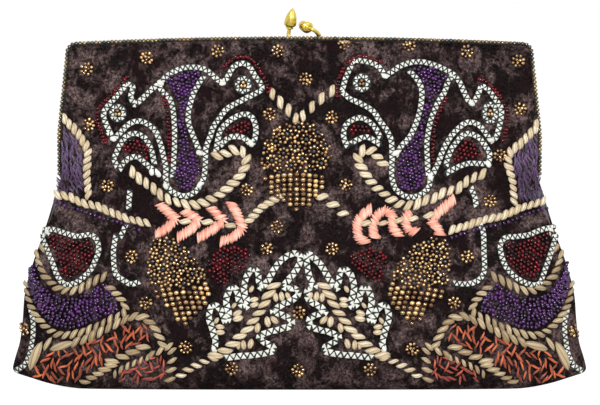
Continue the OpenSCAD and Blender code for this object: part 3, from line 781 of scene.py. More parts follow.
class Sewing:
    """Lays stitches and beads on the cloth and turns each kind into one plain mesh piece."""

    def __init__(self, cloth, materials):
        self.cloth = cloth
        self.materials = materials
        self.tree = laid_tree()
        self.sockets = {s.name: s.identifier for s in self.tree.interface.items_tree
                        if s.item_type == "SOCKET" and s.in_out == "INPUT"}
        self.parts = {}

    def settle(self, source, unit, material, **settings):
        modifier = source.modifiers.new("laid", "NODES")
        modifier.node_group = self.tree
        values = {"Unit": unit, "Material": self.materials[material]}
        values.update({k.replace("_", " "): v for k, v in settings.items()})
        for name, value in values.items():
            modifier[self.sockets[name]] = value
        bpy.context.view_layer.update()
        shown = source.evaluated_get(bpy.context.evaluated_depsgraph_get())
        mesh = bpy.data.meshes.new_from_object(shown)
        source.modifiers.remove(modifier)
        old = source.data
        source.data = mesh
        bpy.data.meshes.remove(old)
        return source

    def keep(self, piece, made):
        self.parts.setdefault(piece, []).append(made)

    def row(self, piece, lines, unit, material, **settings):
        """Units at an even pitch along lines that are given in the photograph's frame."""
        runs, ups = [], []
        for line in lines:
            line = smooth_path(line) if isinstance(line, list) else line
            spots = [self.cloth.at(x, y) for x, y in line]
            runs.append([p for p, _ in spots])
            ups += [n for _, n in spots]
        source = carrier(piece, runs, {"up": ups, "size": [1.0] * len(ups)})
        self.keep(piece, self.settle(source, unit, material, **settings))

    def spots(self, piece, places, unit, material, **settings):
        """Units on single places: x, y, direction in degrees and relative size."""
        points, ups, ways, sizes = [], [], [], []
        for x, y, turn, size in places:
            p, n = self.cloth.at(x, y)
            flat = Vector((math.cos(math.radians(turn)), 0, -math.sin(math.radians(turn))))
            points.append([p])
            ups.append(n)
            ways.append((flat - n * flat.dot(n)).normalized())
            sizes.append(size)
        source = carrier(piece, points, {"up": ups, "along": ways, "size": sizes})
        self.keep(piece, self.settle(source, unit, material, Along_lines=False, **settings))

    def pair(self, piece, places, units, material, **settings):
        """Stitches on the left and, mirrored, on the right; each size is a length in pixels."""
        other = [(2 * MIDDLE_X - x, y, 180 - turn, size) for x, y, turn, size in places]
        self.spots(piece, places, units[0], material, Size=PIXEL, **settings)
        self.spots(piece, other, units[1], material, Size=PIXEL, **settings)

    def finished(self):
        made = {}
        for piece, objects in self.parts.items():
            made[piece] = joined(piece, objects) if len(objects) > 1 else objects[0]
        return made


# The embroidery, in pixels of the photograph's frame

FLOWER_LEFT_BRAIDS = [
    # Outline of the left flower, from its outer petal over the top to the stem
    [(110.5, 133), (105, 121), (104, 113), (108, 106), (117, 96), (127, 83.5), (127, 83.5), (133, 87),
     (131, 97), (135, 105), (135, 105), (143, 98), (152, 89), (160, 83), (168, 75.5), (179, 69.5),
     (191, 67.3), (204, 69), (212, 75), (219, 81), (222.7, 83), (222.7, 83), (229, 75), (233, 67.5),
     (240.5, 63.5), (248.5, 66), (255, 76), (261, 84), (262, 90), (262, 90), (253, 95), (241, 101),
     (227, 109), (219, 119), (213, 128), (210.5, 136), (207, 145), (205.5, 155), (205.5, 165),
     (203.6, 178), (197, 190), (187, 196), (176, 194), (168, 187), (165.5, 177)],
    # Its lower left petal
    [(109, 133), (114.6, 138.6), (114.6, 138.6), (121, 132), (129, 124), (139, 121), (149, 125),
     (156, 132), (161, 145), (164, 158), (166, 168), (165.5, 177)],
    [(117, 166), (114.5, 159), (117, 152), (121, 144), (127, 136), (135, 133.5), (143, 136.5),
     (148.5, 143), (152, 152), (154.5, 163)],
    [(120, 169), (124.5, 162), (131, 157.5), (138, 157), (144, 162), (150, 167), (158, 173)],
    # Its lower right petal
    [(216, 151), (218, 140), (221, 130), (228, 122.5), (236, 117), (246.5, 114.5), (253.6, 120),
     (256, 130), (254.5, 140), (251, 144), (244.6, 138.6), (235.7, 136.5), (227.7, 138.6), (221, 145)],
    # The two sides of its funnel
    [(159, 84), (162, 91), (170, 99.4), (173.5, 113), (174.6, 128), (174.6, 146), (173.7, 164), (173, 176)],
    [(203.6, 77), (198, 85), (193, 94.6), (190, 106), (188.3, 116), (189.3, 125), (193, 135), (196.5, 144),
     (201, 153)],
]
FLOWER_RIGHT_BRAIDS = [
    [(385, 76.5), (381, 70), (374.6, 64), (362, 61), (353.6, 60), (353.6, 60), (349, 70), (345, 80),
     (342, 92), (342, 92), (350, 99), (361, 104), (372.7, 111), (379, 120), (386.4, 130), (391, 140),
     (391.8, 150), (391.8, 164), (391.8, 178), (396, 189.5), (406, 196.6), (415, 196.6), (423, 193),
     (429, 186), (430, 174)],
    [(385, 76.5), (385, 76.5), (392, 71.7), (403, 65), (415, 62), (427, 63), (438.8, 67), (452, 73.6),
     (458.7, 81), (463.5, 91), (468, 100), (472, 104), (472, 104), (477, 96.6), (481, 86), (481, 86),
     (487.4, 89), (495, 99), (500.8, 108), (501, 118), (499, 127), (496, 137), (491, 141)],
    [(410, 71.7), (416.7, 79), (421.5, 89), (421.5, 101), (419.5, 112), (415, 126), (409.6, 137),
     (401.6, 146), (396, 155)],
    [(452, 76), (447, 84), (445, 91), (440, 99), (435, 109), (430, 123), (427, 141), (427, 159),
     (428, 174)],
    [(347, 146), (343.6, 137), (345.4, 126), (352.5, 120), (360.5, 118), (368.6, 121.6), (375.7, 129),
     (380, 137)],
    [(351.6, 143), (358, 139.5), (366, 137), (373, 140), (379, 144)],
    [(430, 179), (437, 165), (443, 150), (449.5, 138), (458, 128.5), (467, 122.5), (477, 124), (484, 131),
     (491, 141)],
    [(446, 165), (448.6, 155), (455, 144), (463, 135), (471, 134), (479, 138), (485, 146), (489.6, 155),
     (488, 164), (488, 164), (479, 163.5), (468, 163.6), (458, 167), (447, 173)],
]
# The stem at the left edge, which the right edge mirrors
EDGE_STEM = [(31, 308), (33.5, 320), (34, 332), (32.5, 343), (30, 355), (25, 365), (17, 370)]
SHORT_BRAIDS = [
    [(130, 192), (129, 208)], [(126, 226), (121, 237)],
    [(116, 237), (114, 250), (114, 262), (116, 274), (123, 280), (131, 284), (139, 282)],
    [(471, 188), (474, 196), (476, 206)],
    [(480, 225), (483, 233), (483.7, 252), (484, 270), (478.6, 280), (467, 284), (454, 283)],
    EDGE_STEM, mirrored(EDGE_STEM),
]
HEART_LEFT = [(44, 229.5), (55, 230), (67, 234), (78, 236.6), (90, 235), (97, 240), (99, 250), (96, 260),
              (91, 270), (83, 278), (74, 283.5), (65, 284), (58, 276), (53, 262.5), (48, 250), (43.5, 238)]
HEART_RIGHT = [(554, 227), (541, 230), (529, 235), (515, 237), (505, 238), (500, 246), (501.5, 257),
               (507, 269), (517.6, 279), (530, 284.5), (539, 283.5), (544, 271), (549, 257), (553, 244),
               (556, 234)]
# The left oak leaf's outline, from its stem round its lobes; its notches are given twice
OAK_LEAF = [(213.5, 351), (215.8, 342), (213.3, 333), (211.6, 325.5), (209.1, 318.5), (210, 310),
            (214, 305), (219.8, 309), (223.4, 316), (225.7, 323), (225.7, 323), (229, 317), (228, 310),
            (226.5, 303), (227.4, 295.5), (232, 287.3), (237, 291.5), (238.4, 298), (241.5, 304.5),
            (246, 308), (246, 308), (247.2, 301.4), (244.8, 294), (244, 287.5), (245.4, 280.5),
            (248.3, 273.5), (253.4, 269.3), (258, 273), (259, 281), (261.5, 289), (261.5, 289),
            (266.2, 283), (271.2, 275.4), (276.3, 266.4), (283, 259), (290, 255), (297, 253.4),
            (300.4, 258.5), (298.8, 264.5), (296.2, 270.2), (291.4, 276.6), (286.8, 281.8), (283.2, 286.4),
            (283.2, 286.4), (288, 288.8), (293.5, 288.2), (298.4, 291.6), (296, 297.4), (290.4, 301),
            (283, 304.2), (277, 307.6), (272.2, 312.4), (272.2, 312.4), (277, 313.2), (283.5, 315.4),
            (289, 318.2), (292, 322.4), (289.6, 326.4), (284, 327.8), (277.5, 330), (270, 331.6),
            (264, 333.8), (259, 336.6), (259, 336.6), (262, 340.6), (267, 343.6), (272.2, 346.4),
            (273.6, 350.8), (268, 352.4), (260, 354), (252, 355), (243, 355.6), (234, 356.6),
            (226.5, 357.4)]
# Small rings in the flowers: x, y, radius across and radius up
SMALL_RINGS = [(117.9, 113, 6.0, 6.6), (243.2, 85, 6.2, 6.8), (361.7, 83, 6.4, 7.0), (490, 113, 5.6, 9)]
# Knots: x, y, direction in degrees and relative size
KNOTS = [(113.5, 139, 20, 1.3), (160.5, 83, 35, 1.4), (222.7, 83.5, -10, 1.3), (199.8, 153, 20, 1.4),
         (152, 172, 80, 1.3), (158.6, 173.6, 60, 1.4), (251, 143.5, 60, 1.5), (200, 184.5, -55, 1.4),
         (166, 186, 60, 1.3), (385, 76.5, 20, 1.3), (471.5, 103.5, 30, 1.3), (396, 153, -20, 1.4),
         (430, 177, 70, 1.4), (491, 140, 0, 1.3), (488, 164, 60, 1.4), (214, 349, 80, 1.2),
         (384, 349, 80, 1.2)]
# Each rope: the pitch of its stitches, how they lean in degrees, their length, and the line they follow
CENTRE_ROPES = [
    (9.4, 36, 14.0, [(272.5, 94), (276, 99), (282, 104), (287, 109), (292, 113), (296, 119)]),
    (9.4, -36, 14.0, [(332, 91), (323, 97.5), (315, 105), (308, 110), (303, 116)]),
    (5.4, 36, 11.5, [(280, 196), (269, 203), (260, 209), (249, 221)]),
    (8.4, -36, 13.5, [(322, 197), (330, 203), (337, 208), (343, 214)]),
]
HOOK_ROPES = [
    (8.8, 36, 14.0, [(132.5, 172), (140, 179), (151, 186), (158, 193), (169, 199.5), (185, 204.6),
                     (199, 204.6), (209, 200), (217, 197), (227, 189), (238, 178), (244, 169),
                     (246.5, 160), (244, 153), (236, 150), (227, 153), (217, 156)]),
    (8.8, -36, 14.0, [(383, 164), (376, 155.5), (368.6, 150), (361, 152), (358, 160), (363, 170),
                      (369.5, 180), (377.5, 188.6), (388, 197), (394.5, 202), (404, 205.5), (415, 204.6),
                      (423, 201), (432, 199), (443, 193), (458, 188), (468, 180), (482, 174)]),
]
SIDE_ROPES = [
    (6.6, 34, 12.5, [(64.5, 119), (70, 125), (77, 132), (84, 143), (88, 150), (87.4, 159), (87.4, 167),
                     (87, 176), (88, 185), (89, 195)]),
    (6.6, 34, 12.5, [(58, 195), (70, 197), (82.5, 203), (96, 206), (110, 212), (120, 216), (131, 220),
                     (147, 223)]),
    (6.6, -34, 12.5, [(541, 124), (533, 131), (526, 138), (519, 145), (511, 151), (508, 160), (509.5, 170),
                      (512, 180), (513, 190), (513.5, 202)]),
    (6.6, -34, 12.5, [(543, 201), (534, 204), (521, 208), (509, 213), (499, 217), (484, 220), (469, 225),
                      (452, 230)]),
]
SIDE_BEAD_ROWS = [
    [(57, 202), (68, 207), (79, 210), (91, 214.5), (105, 219), (119, 223), (130, 227), (139, 230)],
    [(546, 208), (530, 213), (514, 220), (499, 225), (483, 228), (466, 233), (451, 238)],
]
LOWER_ROPES = [
    # Under the heart
    (7.8, -36, 13.0, [(37, 246), (38.5, 258), (41.5, 268), (46, 277), (53, 284), (60, 289), (71, 291),
                      (82, 288), (93, 282), (104, 277)]),
    # Round the crescent
    (7.4, -40, 12.5, [(27, 284), (28.5, 296), (32.5, 308), (40, 320), (50, 330), (61, 335), (71, 334.5),
                      (80, 333), (92, 329), (101, 325), (110, 320), (119, 316), (126, 311), (123, 302),
                      (117, 295), (110, 288)]),
    # Over the orange field, and the branch, twigs and tips inside the corner
    (8.0, -30, 15.5, [(76, 342), (86, 339), (96, 334.5), (106, 329), (116, 324), (126, 319.5), (137, 316),
                      (147, 320), (154, 327), (159, 336), (163, 345)]),
    (8.4, 33, 15.0, [(112, 361), (122, 357), (132, 352.5), (143, 347)]),
    (6.2, -38, 10.0, [(115, 374), (121, 369.5), (129, 365.5), (138, 361.5), (148, 357.5)]),
    (7.5, -18, 13.0, [(151, 355), (160, 351), (169, 346.5)]),
    (7.0, 62, 12.0, [(172, 351), (172, 360), (171, 369), (170, 379)]),
    (5.6, 42, 13.5, [(85, 381), (94, 376), (103, 370.5), (111, 365)]),
]
LEAF_ROPES = [
    # Midrib, then stem
    (9.6, 30, 16.5, [(216, 355), (226, 350), (233, 344), (239, 337), (247, 330), (253, 321), (259, 313),
                     (264, 305), (268, 296), (274, 286)]),
    (7.2, 36, 11.5, [(213, 358), (204, 361.5), (195, 366), (189, 369), (181, 375)]),
]
# Single stitches: x, y, direction in degrees and length
CORNER_LEAVES = [(36, 356, -64, 33), (48, 344, -56, 17), (62, 346, -17, 27)]
LEAF_RIBS = [(220.3, 332.3, 4, 9.8), (220, 326.8, 8, 9.6), (216.6, 320.6, -58, 7.6),
             (238, 318.4, -14, 11.4), (237.4, 313.2, -24, 10.4), (234, 305.6, -52, 7.2),
             (254.4, 304.8, -14, 9.8), (254.2, 299.6, -8, 9.4), (251.5, 289.2, -60, 8.0),
             (275.9, 297.4, 86, 9.6), (281.7, 296.5, 80, 10.2), (287.9, 296, 64, 8.6),
             (257.6, 327.9, -80, 10.6), (267.6, 321.8, 80, 11.6), (274.4, 320.1, 46, 10.4),
             (238.2, 345.9, 84, 7.8), (243.5, 345, 86, 10.2), (250.6, 343.8, -74, 10.8)]
CORAL_SPINES = [(185.5, 222, 4, 13.5), (207.5, 222.6, 4, 13.5), (230.5, 226, 12, 12.5),
                (366, 223.8, -4, 13), (383, 223.6, -3, 11.5), (399, 220.8, -8, 12), (413, 219, -5, 12),
                (429, 215.6, -12, 13.5)]
# Coral bands, each a chevron: its upper end, its point, given twice, and its lower end
CORAL_BANDS = [
    [(160, 204.5), (168, 212), (176.6, 219.6), (176.6, 219.6), (167, 228), (156, 235)],
    [(184.6, 211), (192, 216), (200, 221), (200, 221), (190, 230), (178, 237.5)],
    [(211, 208), (218, 215), (224, 221), (224, 221), (212, 230), (198, 238)],
    [(231, 203), (238, 216), (243, 229), (243, 229), (233, 237), (221, 242)],
    [(371, 209), (362, 216), (357, 223), (357, 223), (358.6, 236), (366, 243)],
    # This one is a curl without a point
    [(375.5, 238), (373, 229), (375, 220), (380, 213), (387, 211), (392, 217), (393, 227), (399, 236)],
    [(410, 212), (405, 220), (405, 220), (408, 229), (416, 232)],
    [(454, 199), (445, 207), (437, 214), (431, 221), (431, 221), (437, 228), (440, 235)],
]
GARNET_ROWS = [
    [(127, 77), (118, 88), (108, 98), (99, 108), (97, 118), (100, 130), (106, 143)],
    [(163, 97), (167, 110), (168.5, 125), (169, 142), (168.5, 160)],
    [(225, 66), (232, 59.5), (242, 57), (252, 60), (259, 70), (267, 84), (268, 92)],
    [(338, 96), (337, 85), (340, 74), (347, 64), (357, 56.5), (370, 58), (381, 62)],
    [(446, 98), (440, 109), (435, 122), (432.5, 140), (432, 163)],
    [(479, 79), (487, 83), (495, 91), (502, 101), (507, 112), (506, 124), (503, 140)],
]
# Outline of each flower's funnel: down its left side and up its right
FUNNELS = [
    [(184, 71.2), (173, 74.8), (165, 79.5), (168, 86), (173, 92.5), (177, 100), (179, 112), (179.5, 130),
     (179, 150), (178, 166), (174, 176), (176, 185), (182, 190),
     (188, 190), (194, 186), (199.5, 172), (199, 160), (192, 149), (188, 139), (185, 127), (184.5, 114),
     (186.5, 101), (191, 91), (198, 80), (200, 72.5), (193, 70.6)],
    [(425, 66.5), (412, 68.5), (419, 76), (426, 86), (427, 96), (425, 108), (420, 122), (413.5, 136),
     (404, 149), (398.5, 160), (397.5, 175), (401, 187), (409, 191),
     (415, 190), (422, 186), (424, 174), (421.5, 158), (422, 140), (425, 123), (430.5, 108), (437, 95),
     (442, 84), (447, 74.5), (436, 69.5)],
]
CRESCENT_TOP = [(33, 262), (36, 274), (43, 286), (52, 294), (64, 298), (77, 297), (90, 291), (103, 284),
                (112, 292)]
CRESCENT_LOW = [(31, 285), (35, 301), (42, 312), (51, 322), (61, 328), (74, 328), (88, 324), (103, 317),
                (117, 311)]
# Fields of garnet beads, each with the direction of its rows in degrees
PETAL_FILLS = [
    (10, [(122, 152), (125, 143), (131, 138.5), (139, 138), (145, 142), (149, 151), (151, 161), (143, 155),
          (134, 151), (126, 154)]),
    (-25, [(223, 139), (226, 130), (232, 125), (240, 121), (247, 120), (251, 127), (250, 136), (244, 133),
           (235, 131), (227, 134)]),
    (5, [(350, 137), (349.5, 130), (355, 125.5), (362, 124), (368, 128), (373, 135), (365, 131.5),
         (357, 134)]),
    (15, [(452, 161), (455, 152), (461, 143), (468, 140), (475, 142), (481, 150), (484, 158), (470, 157.5),
          (460, 160)]),
]
GARNET_HEARTS = [(20, HEART_LEFT), (-20, HEART_RIGHT)]
GARNET_FANS = [
    (-30, [(207, 262), (217, 248), (230, 247), (247, 250), (252, 256), (241, 270), (230, 281), (216, 286),
           (211, 275)]),
    (40, [(347, 257), (365, 247), (380, 252), (388, 258), (384, 272), (378, 283), (366, 276), (356, 267)]),
]
CENTRE_CAP = [(296, 122), (312, 124), (324, 134), (331, 147), (332, 160), (327, 171), (311, 173),
              (282, 173), (265, 171), (260, 161), (261, 149), (268, 136), (280, 126)]
CENTRE_NUT = [(263, 173), (329, 173), (327, 184), (320, 195), (309, 206), (297, 212), (285, 206),
              (274, 196), (266, 184)]
SIDE_CAP = [(153, 240), (163, 237), (175, 240), (184, 247), (193, 254), (200, 263), (204, 270), (206, 279),
            (195, 284), (183, 289), (168, 286), (154, 287), (149, 279), (147, 268), (147, 258), (149, 249)]
SIDE_NUT = [(153, 289), (168, 288), (183, 292), (196, 287), (207, 281), (210, 288), (208, 297), (204, 306),
            (199, 315), (192, 323), (188, 326), (182, 324), (176, 317), (168, 308), (159, 298)]
# Each acorn's cap: its outline, the place of one dark bead, and the two steps from it to the next ones
ACORN_CAPS = [
    (CENTRE_CAP, (294.9, 146.4), (-11.5, 7), (7.5, 12)),
    (SIDE_CAP, (171.8, 259.4), (10.3, 7.2), (-8.2, 9.8)),
    (mirrored(SIDE_CAP), (426.2, 259.4), (-10.3, 7.2), (8.2, 9.8)),
]
# Each acorn's nut: its outline, and how far its strings drift sideways for each pixel down
ACORN_NUTS = [(CENTRE_NUT, 0.0), (SIDE_NUT, 0.3), (mirrored(SIDE_NUT), -0.3)]
# Middles of the rosettes
ROSETTES = [(87, 69), (147, 58), (89, 124.5), (218, 51), (278, 51), (269.6, 114.4), (305.7, 79),
            (344, 43.4), (409, 45), (331.6, 117.6), (467, 51.6), (518, 61), (520, 109), (108, 185.4),
            (247, 189.5), (346, 185), (499.5, 155.5), (489.5, 201), (277, 227), (267, 249), (332, 249),
            (132, 257), (467, 257), (186, 347), (412, 349), (232, 368), (370, 369), (298, 370),
            (299, 312.5), (454, 303), (146, 303), (24, 329), (574, 331)]
# Fields of seed stitches: violet on the side panels, orange and brick in the lower corners
VIOLET_PANELS = [
    [(63, 128), (70, 134), (78, 141), (82, 152), (82.5, 168), (82.5, 182), (80, 193), (66, 191), (57, 188),
     (58.5, 165), (61, 145)],
    [(539, 134), (530, 141), (521, 149), (513, 156), (515, 170), (517, 182), (519, 200), (530, 201),
     (543, 197), (540, 180), (538, 160)],
]
ORANGE_FIELD = [(28, 377), (36, 366), (43, 356), (52, 351), (66, 348.5), (80, 346), (93, 341), (106, 336),
                (118, 330), (130, 325), (142, 323), (151, 331), (153, 339), (144, 343), (131, 348),
                (120, 353), (108, 358), (98, 366), (88, 374), (78, 379), (56, 380)]
BRICK_FIELD = [(116, 379), (125, 371), (134, 366), (145, 361), (156, 355), (164, 356), (166, 366),
               (165, 377), (150, 381), (130, 381)]
# Gaps along and between the rows of beads that fill a field, in pixels
PETAL_GAPS, FAN_GAPS, FUNNEL_GAPS, CAP_GAPS = (4.1, 3.6), (4.1, 3.7), (3.7, 3.3), (3.4, 3.0)
HEART_MARGIN = 4.6
# Strings of beads, and how far each of a double string lies from its line
CRESCENT_STRINGS, CRESCENT_PITCH, SIDE_STRING_PITCH = 9, 3.9, 4.4
GARNET_PITCH, GARNET_OUT, GARNET_IN = 3.5, 1.4, 2.0
# Number and radius of the beads in a rosette's middle, and the radius of its ring
ROSETTE_MIDDLE, ROSETTE_RING = (3, 1.9), 5.2
# Beads ringed round a dark one, the least gap between two, and between one and a dark one
CAP_RING, CAP_APART, CAP_CLEAR = 4.7, 3.1, 4.0
# Gaps between an acorn's strings and along them, the first bead's drop, and the strings' sag
NUT_COLUMN, NUT_ROW, NUT_TOP, NUT_SAG = 6.3, 5.0, 1.5, 0.0042
# Gaps between seed stitches
ORANGE_STEP, BRICK_STEP, VIOLET_STEP = 7.3, 6.6, 3.7
# Rows and columns that are tried either side of a field's middle, enough to cover the largest one
FIELD_REACH, CAP_REACH, NUT_REACH = 40, 9, 20


def inside(polygon, x, y):
    hit = False
    for (ax, ay), (bx, by) in zip(polygon, polygon[1:] + polygon[:1]):
        if (ay > y) != (by > y) and x < (bx - ax) * (y - ay) / (by - ay) + ax:
            hit = not hit
    return hit


def roomy(outline, spot, room):
    """True where the spot is at least that far from the outline."""
    x, y = spot[:2]
    for (ax, ay), (bx, by) in zip(outline, outline[1:] + outline[:1]):
        dx, dy = bx - ax, by - ay
        t = clamp(((x - ax) * dx + (y - ay) * dy) / (dx * dx + dy * dy))
        if math.hypot(x - ax - t * dx, y - ay - t * dy) < room:
            return False
    return True


def farther(spot, others, gap):
    return all(math.hypot(spot[0] - p[0], spot[1] - p[1]) > gap for p in others)


def polar(angle, radius):
    return radius * math.cos(angle), radius * math.sin(angle)


def filled(polygon, gaps, turn, rng, jitter=0.12, sizes=(0.92, 1.06)):
    """Places for beads that fill an outline in staggered rows, turned by an angle in degrees."""
    step, row = gaps
    c, s = polar(math.radians(turn), 1)
    cx = sum(p[0] for p in polygon) / len(polygon)
    cy = sum(p[1] for p in polygon) / len(polygon)
    places = []
    for j in range(-FIELD_REACH, FIELD_REACH + 1):
        for i in range(-FIELD_REACH, FIELD_REACH + 1):
            u = (i + 0.5 * (j % 2)) * step + rng.uniform(-jitter, jitter) * step
            v = j * row + rng.uniform(-jitter, jitter) * row
            x, y = cx + u * c - v * s, cy + u * s + v * c
            if inside(polygon, x, y):
                places.append((x, y, turn + rng.uniform(-12, 12), rng.uniform(*sizes)))
    return places


def headings(line):
    """Direction of an evenly stepped line at each of its points, in degrees."""
    across, down = np.gradient(line, axis=0).T
    return np.degrees(np.arctan2(down, across))


def strung(first, last, rows, pitch, rng, jitter=0.1):
    """Places for beads on strings that run between two lines."""
    samples = 60
    a, b = lined_up(smooth_path(first), samples), lined_up(smooth_path(last), samples)
    places = []
    for k in range(rows):
        line = a + (b - a) * (k + 0.5) / rows
        line = lined_up(line, max(2, round(line_length(line) / pitch)))
        for (x, y), turn in zip(line, headings(line)):
            x += rng.uniform(-jitter, jitter) * pitch
            y += rng.uniform(-jitter, jitter) * pitch
            places.append((x, y, turn + rng.uniform(-10, 10), rng.uniform(0.92, 1.06)))
    return places


def leaning(pitch, lean, length, line, rng):
    """Places for long stitches one after the other on a line, each turned from it by some degrees."""
    path = smooth_path(line)
    path = lined_up(path, max(2, round(line_length(path) / pitch)))
    return [(x, y, way + lean + rng.uniform(-7, 7), length * rng.uniform(0.9, 1.1))
            for (x, y), way in zip(path, headings(path))]


def leaning_ropes(ropes, rng):
    return [place for rope in ropes for place in leaning(*rope, rng)]


def short_stitches(outline, step, turn, spread, rng, long=1.0):
    """Places for seed stitches strewn over an outline, each turned its own way."""
    return [(x, y, turn + rng.uniform(-spread, spread), rng.uniform(0.8, 1.15) * long)
            for x, y, _, _ in filled(outline, (step, step * 0.86), rng.uniform(0, 60), rng, 0.32)]


def rosette(x, y, rng):
    """A few beads in the middle and a close ring of them round it."""
    start = rng.uniform(0, 360)
    places = []
    for count, radius in (ROSETTE_MIDDLE, (rng.choice((8, 9)), ROSETTE_RING)):
        for k in range(count):
            a = start + 360 * k / count + rng.uniform(-5, 5)
            dx, dy = polar(math.radians(a), radius + rng.uniform(-0.3, 0.3))
            places.append((x + dx, y + dy, a + 90, rng.uniform(0.76, 0.88)))
    return places


def ring_fill(x, y):
    """Three beads inside one of the small braided rings."""
    return [(x + 1.9 * math.cos(a), y + 2.2 * math.sin(a), math.degrees(a), 0.85) for a in (0.5, 2.6, 4.7)]


def acorn_cap(outline, origin, first, second, rng):
    """Places of small beads packed over a cap, and of the dark beads that stand among them, each ringed."""
    steps = range(-CAP_REACH, CAP_REACH + 1)
    dark = [(origin[0] + i * first[0] + j * second[0], origin[1] + i * first[1] + j * second[1])
            for i in steps for j in steps]
    dark = [p for p in dark if inside(outline, *p)]
    ring = [(x + CAP_RING * math.cos(a), y + CAP_RING * math.sin(a), math.degrees(a) + 90,
             rng.uniform(0.78, 0.92))
            for x, y in dark for a in np.linspace(0, 2 * math.pi, 8, endpoint=False) + rng.uniform(0, 1)]
    kept = []
    for bead in ring + filled(outline, CAP_GAPS, 35, rng, 0.16, (0.8, 0.94)):
        clear = farther(bead, kept, CAP_APART) and farther(bead, dark, CAP_CLEAR)
        if clear and inside(outline, *bead[:2]):
            kept.append(bead)
    return kept, [(x, y, rng.uniform(0, 180), rng.uniform(0.8, 1.0)) for x, y in dark]


def acorn_nut(outline, drift, rng):
    """Rows of larger beads, strung down the nut and sagging to both sides."""
    top = min(p[1] for p in outline)
    middle = sum(p[0] for p in outline) / len(outline)
    places = []
    for j in range(2 * NUT_REACH):
        for i in range(-NUT_REACH, NUT_REACH + 1):
            y = top + NUT_TOP + j * NUT_ROW
            x = middle + i * NUT_COLUMN + drift * (y - top)
            y += NUT_SAG * (i * NUT_COLUMN) ** 2
            if inside(outline, x, y):
                places.append((x + rng.uniform(-0.3, 0.3), y + rng.uniform(-0.3, 0.3),
                               90 + rng.uniform(-8, 8), rng.uniform(0.95, 1.05)))
    return places


def facing_leaf(line):
    """The right leaf's line: the left one mirrored, its tip drawn back so that the two tips only touch."""
    tip_from, drawn_back = 311, 0.66
    return [(x + max(0.0, tip_from - x) * drawn_back, y) for x, y in mirrored(line)]


def ring_line(x, y, wide, high):
    """A small ring, its two ends close to each other."""
    turns = np.linspace(0.4, 2 * math.pi + 0.2, 15)
    return [(x + wide * math.cos(a), y + high * math.sin(a)) for a in turns]


def lay_braids(sewing):
    """White braid: wedges in two rows over a dark thread, and a knot where lines meet."""
    block = block_unit("braid_block")
    braids = FLOWER_LEFT_BRAIDS + FLOWER_RIGHT_BRAIDS + SHORT_BRAIDS
    braids += [heart + heart[:1] for heart in (HEART_LEFT, HEART_RIGHT)]
    leaves = [OAK_LEAF, facing_leaf(OAK_LEAF)]
    rings = [ring_line(*ring) for ring in SMALL_RINGS]
    link = stitch_unit("dark_link", 0.9, 0.3, rings=5, fullness=0.3)
    sewing.row("braid_base", braids + leaves + rings, link, "couching", Pitch=2.2 * PIXEL, Size=6.9 * PIXEL,
               Lift=0.1 * MM, Seed=2)
    plaited = {"Lift": 0.62 * MM, "Turn": math.radians(90), "Mirror_turns": True}
    sewing.row("braid_grains", braids, block, "ivory", Pitch=2.65 * PIXEL, Side=0.75 * PIXEL,
               Size=4.15 * PIXEL, Size_jitter=0.1, Turn_jitter=0.12, Roll_jitter=0.1, Seed=3, **plaited)
    sewing.row("braid_grains", leaves, block_unit("wide_block", 1.18), "ivory", Pitch=3.4 * PIXEL,
               Side=0.95 * PIXEL, Size=5.0 * PIXEL, Size_jitter=0.12, Turn_jitter=0.14, Roll_jitter=0.1,
               Seed=32, **plaited)
    sewing.row("braid_grains", rings, block, "ivory", Pitch=2.5 * PIXEL, Side=0.5 * PIXEL,
               Size=3.5 * PIXEL, Size_jitter=0.1, Turn_jitter=0.2, Seed=31, **plaited)
    knot = stitch_unit("braid_knot", 0.66, 0.34, fullness=0.3)
    sewing.spots("braid_grains", KNOTS, knot, "ivory", Size=5.6 * PIXEL, Lift=0.74 * MM, Seed=33)


def lay_ropes(sewing, rope_units, rng):
    """Cream and tan cord in single padded stitches, which curl the way they lean."""
    padded = {"Lift": 0.3 * MM, "Roll_jitter": 0.15}
    for piece, ropes, seeds in (("cream_ropes", CENTRE_ROPES + HOOK_ROPES, (4, 5)),
                                ("side_ropes", SIDE_ROPES, (10, 12))):
        falling, rising = [], []
        for rope in ropes:
            side = falling if rope[1] > 0 else rising
            side.extend(leaning(*rope, rng))
        sewing.spots(piece, falling, rope_units[1], "cream", Size=PIXEL, Seed=seeds[0], **padded)
        sewing.spots(piece, rising, rope_units[0], "cream", Size=PIXEL, Seed=seeds[1], **padded)

    rib_units = curled_pair("rib_stitch", 0.38, 0.3, 0.06)
    slim = stitch_unit("slim_stitch", 0.3, 0.2, fullness=0.6)
    fat = stitch_unit("fat_stitch", 0.56, 0.38)
    sewing.pair("lower_ropes", leaning_ropes(LOWER_ROPES, rng), rib_units[::-1], "tan", Seed=6, **padded)
    sewing.pair("corner_leaves", CORNER_LEAVES, (slim, slim), "tan", Lift=0.35 * MM, Seed=14)
    sewing.pair("leaf_ribs", leaning_ropes(LEAF_ROPES, rng), rib_units, "cream", Lift=0.4 * MM, Seed=7)
    sewing.pair("leaf_side_ribs", LEAF_RIBS, (fat, fat), "cream", Lift=0.3 * MM, Seed=8)


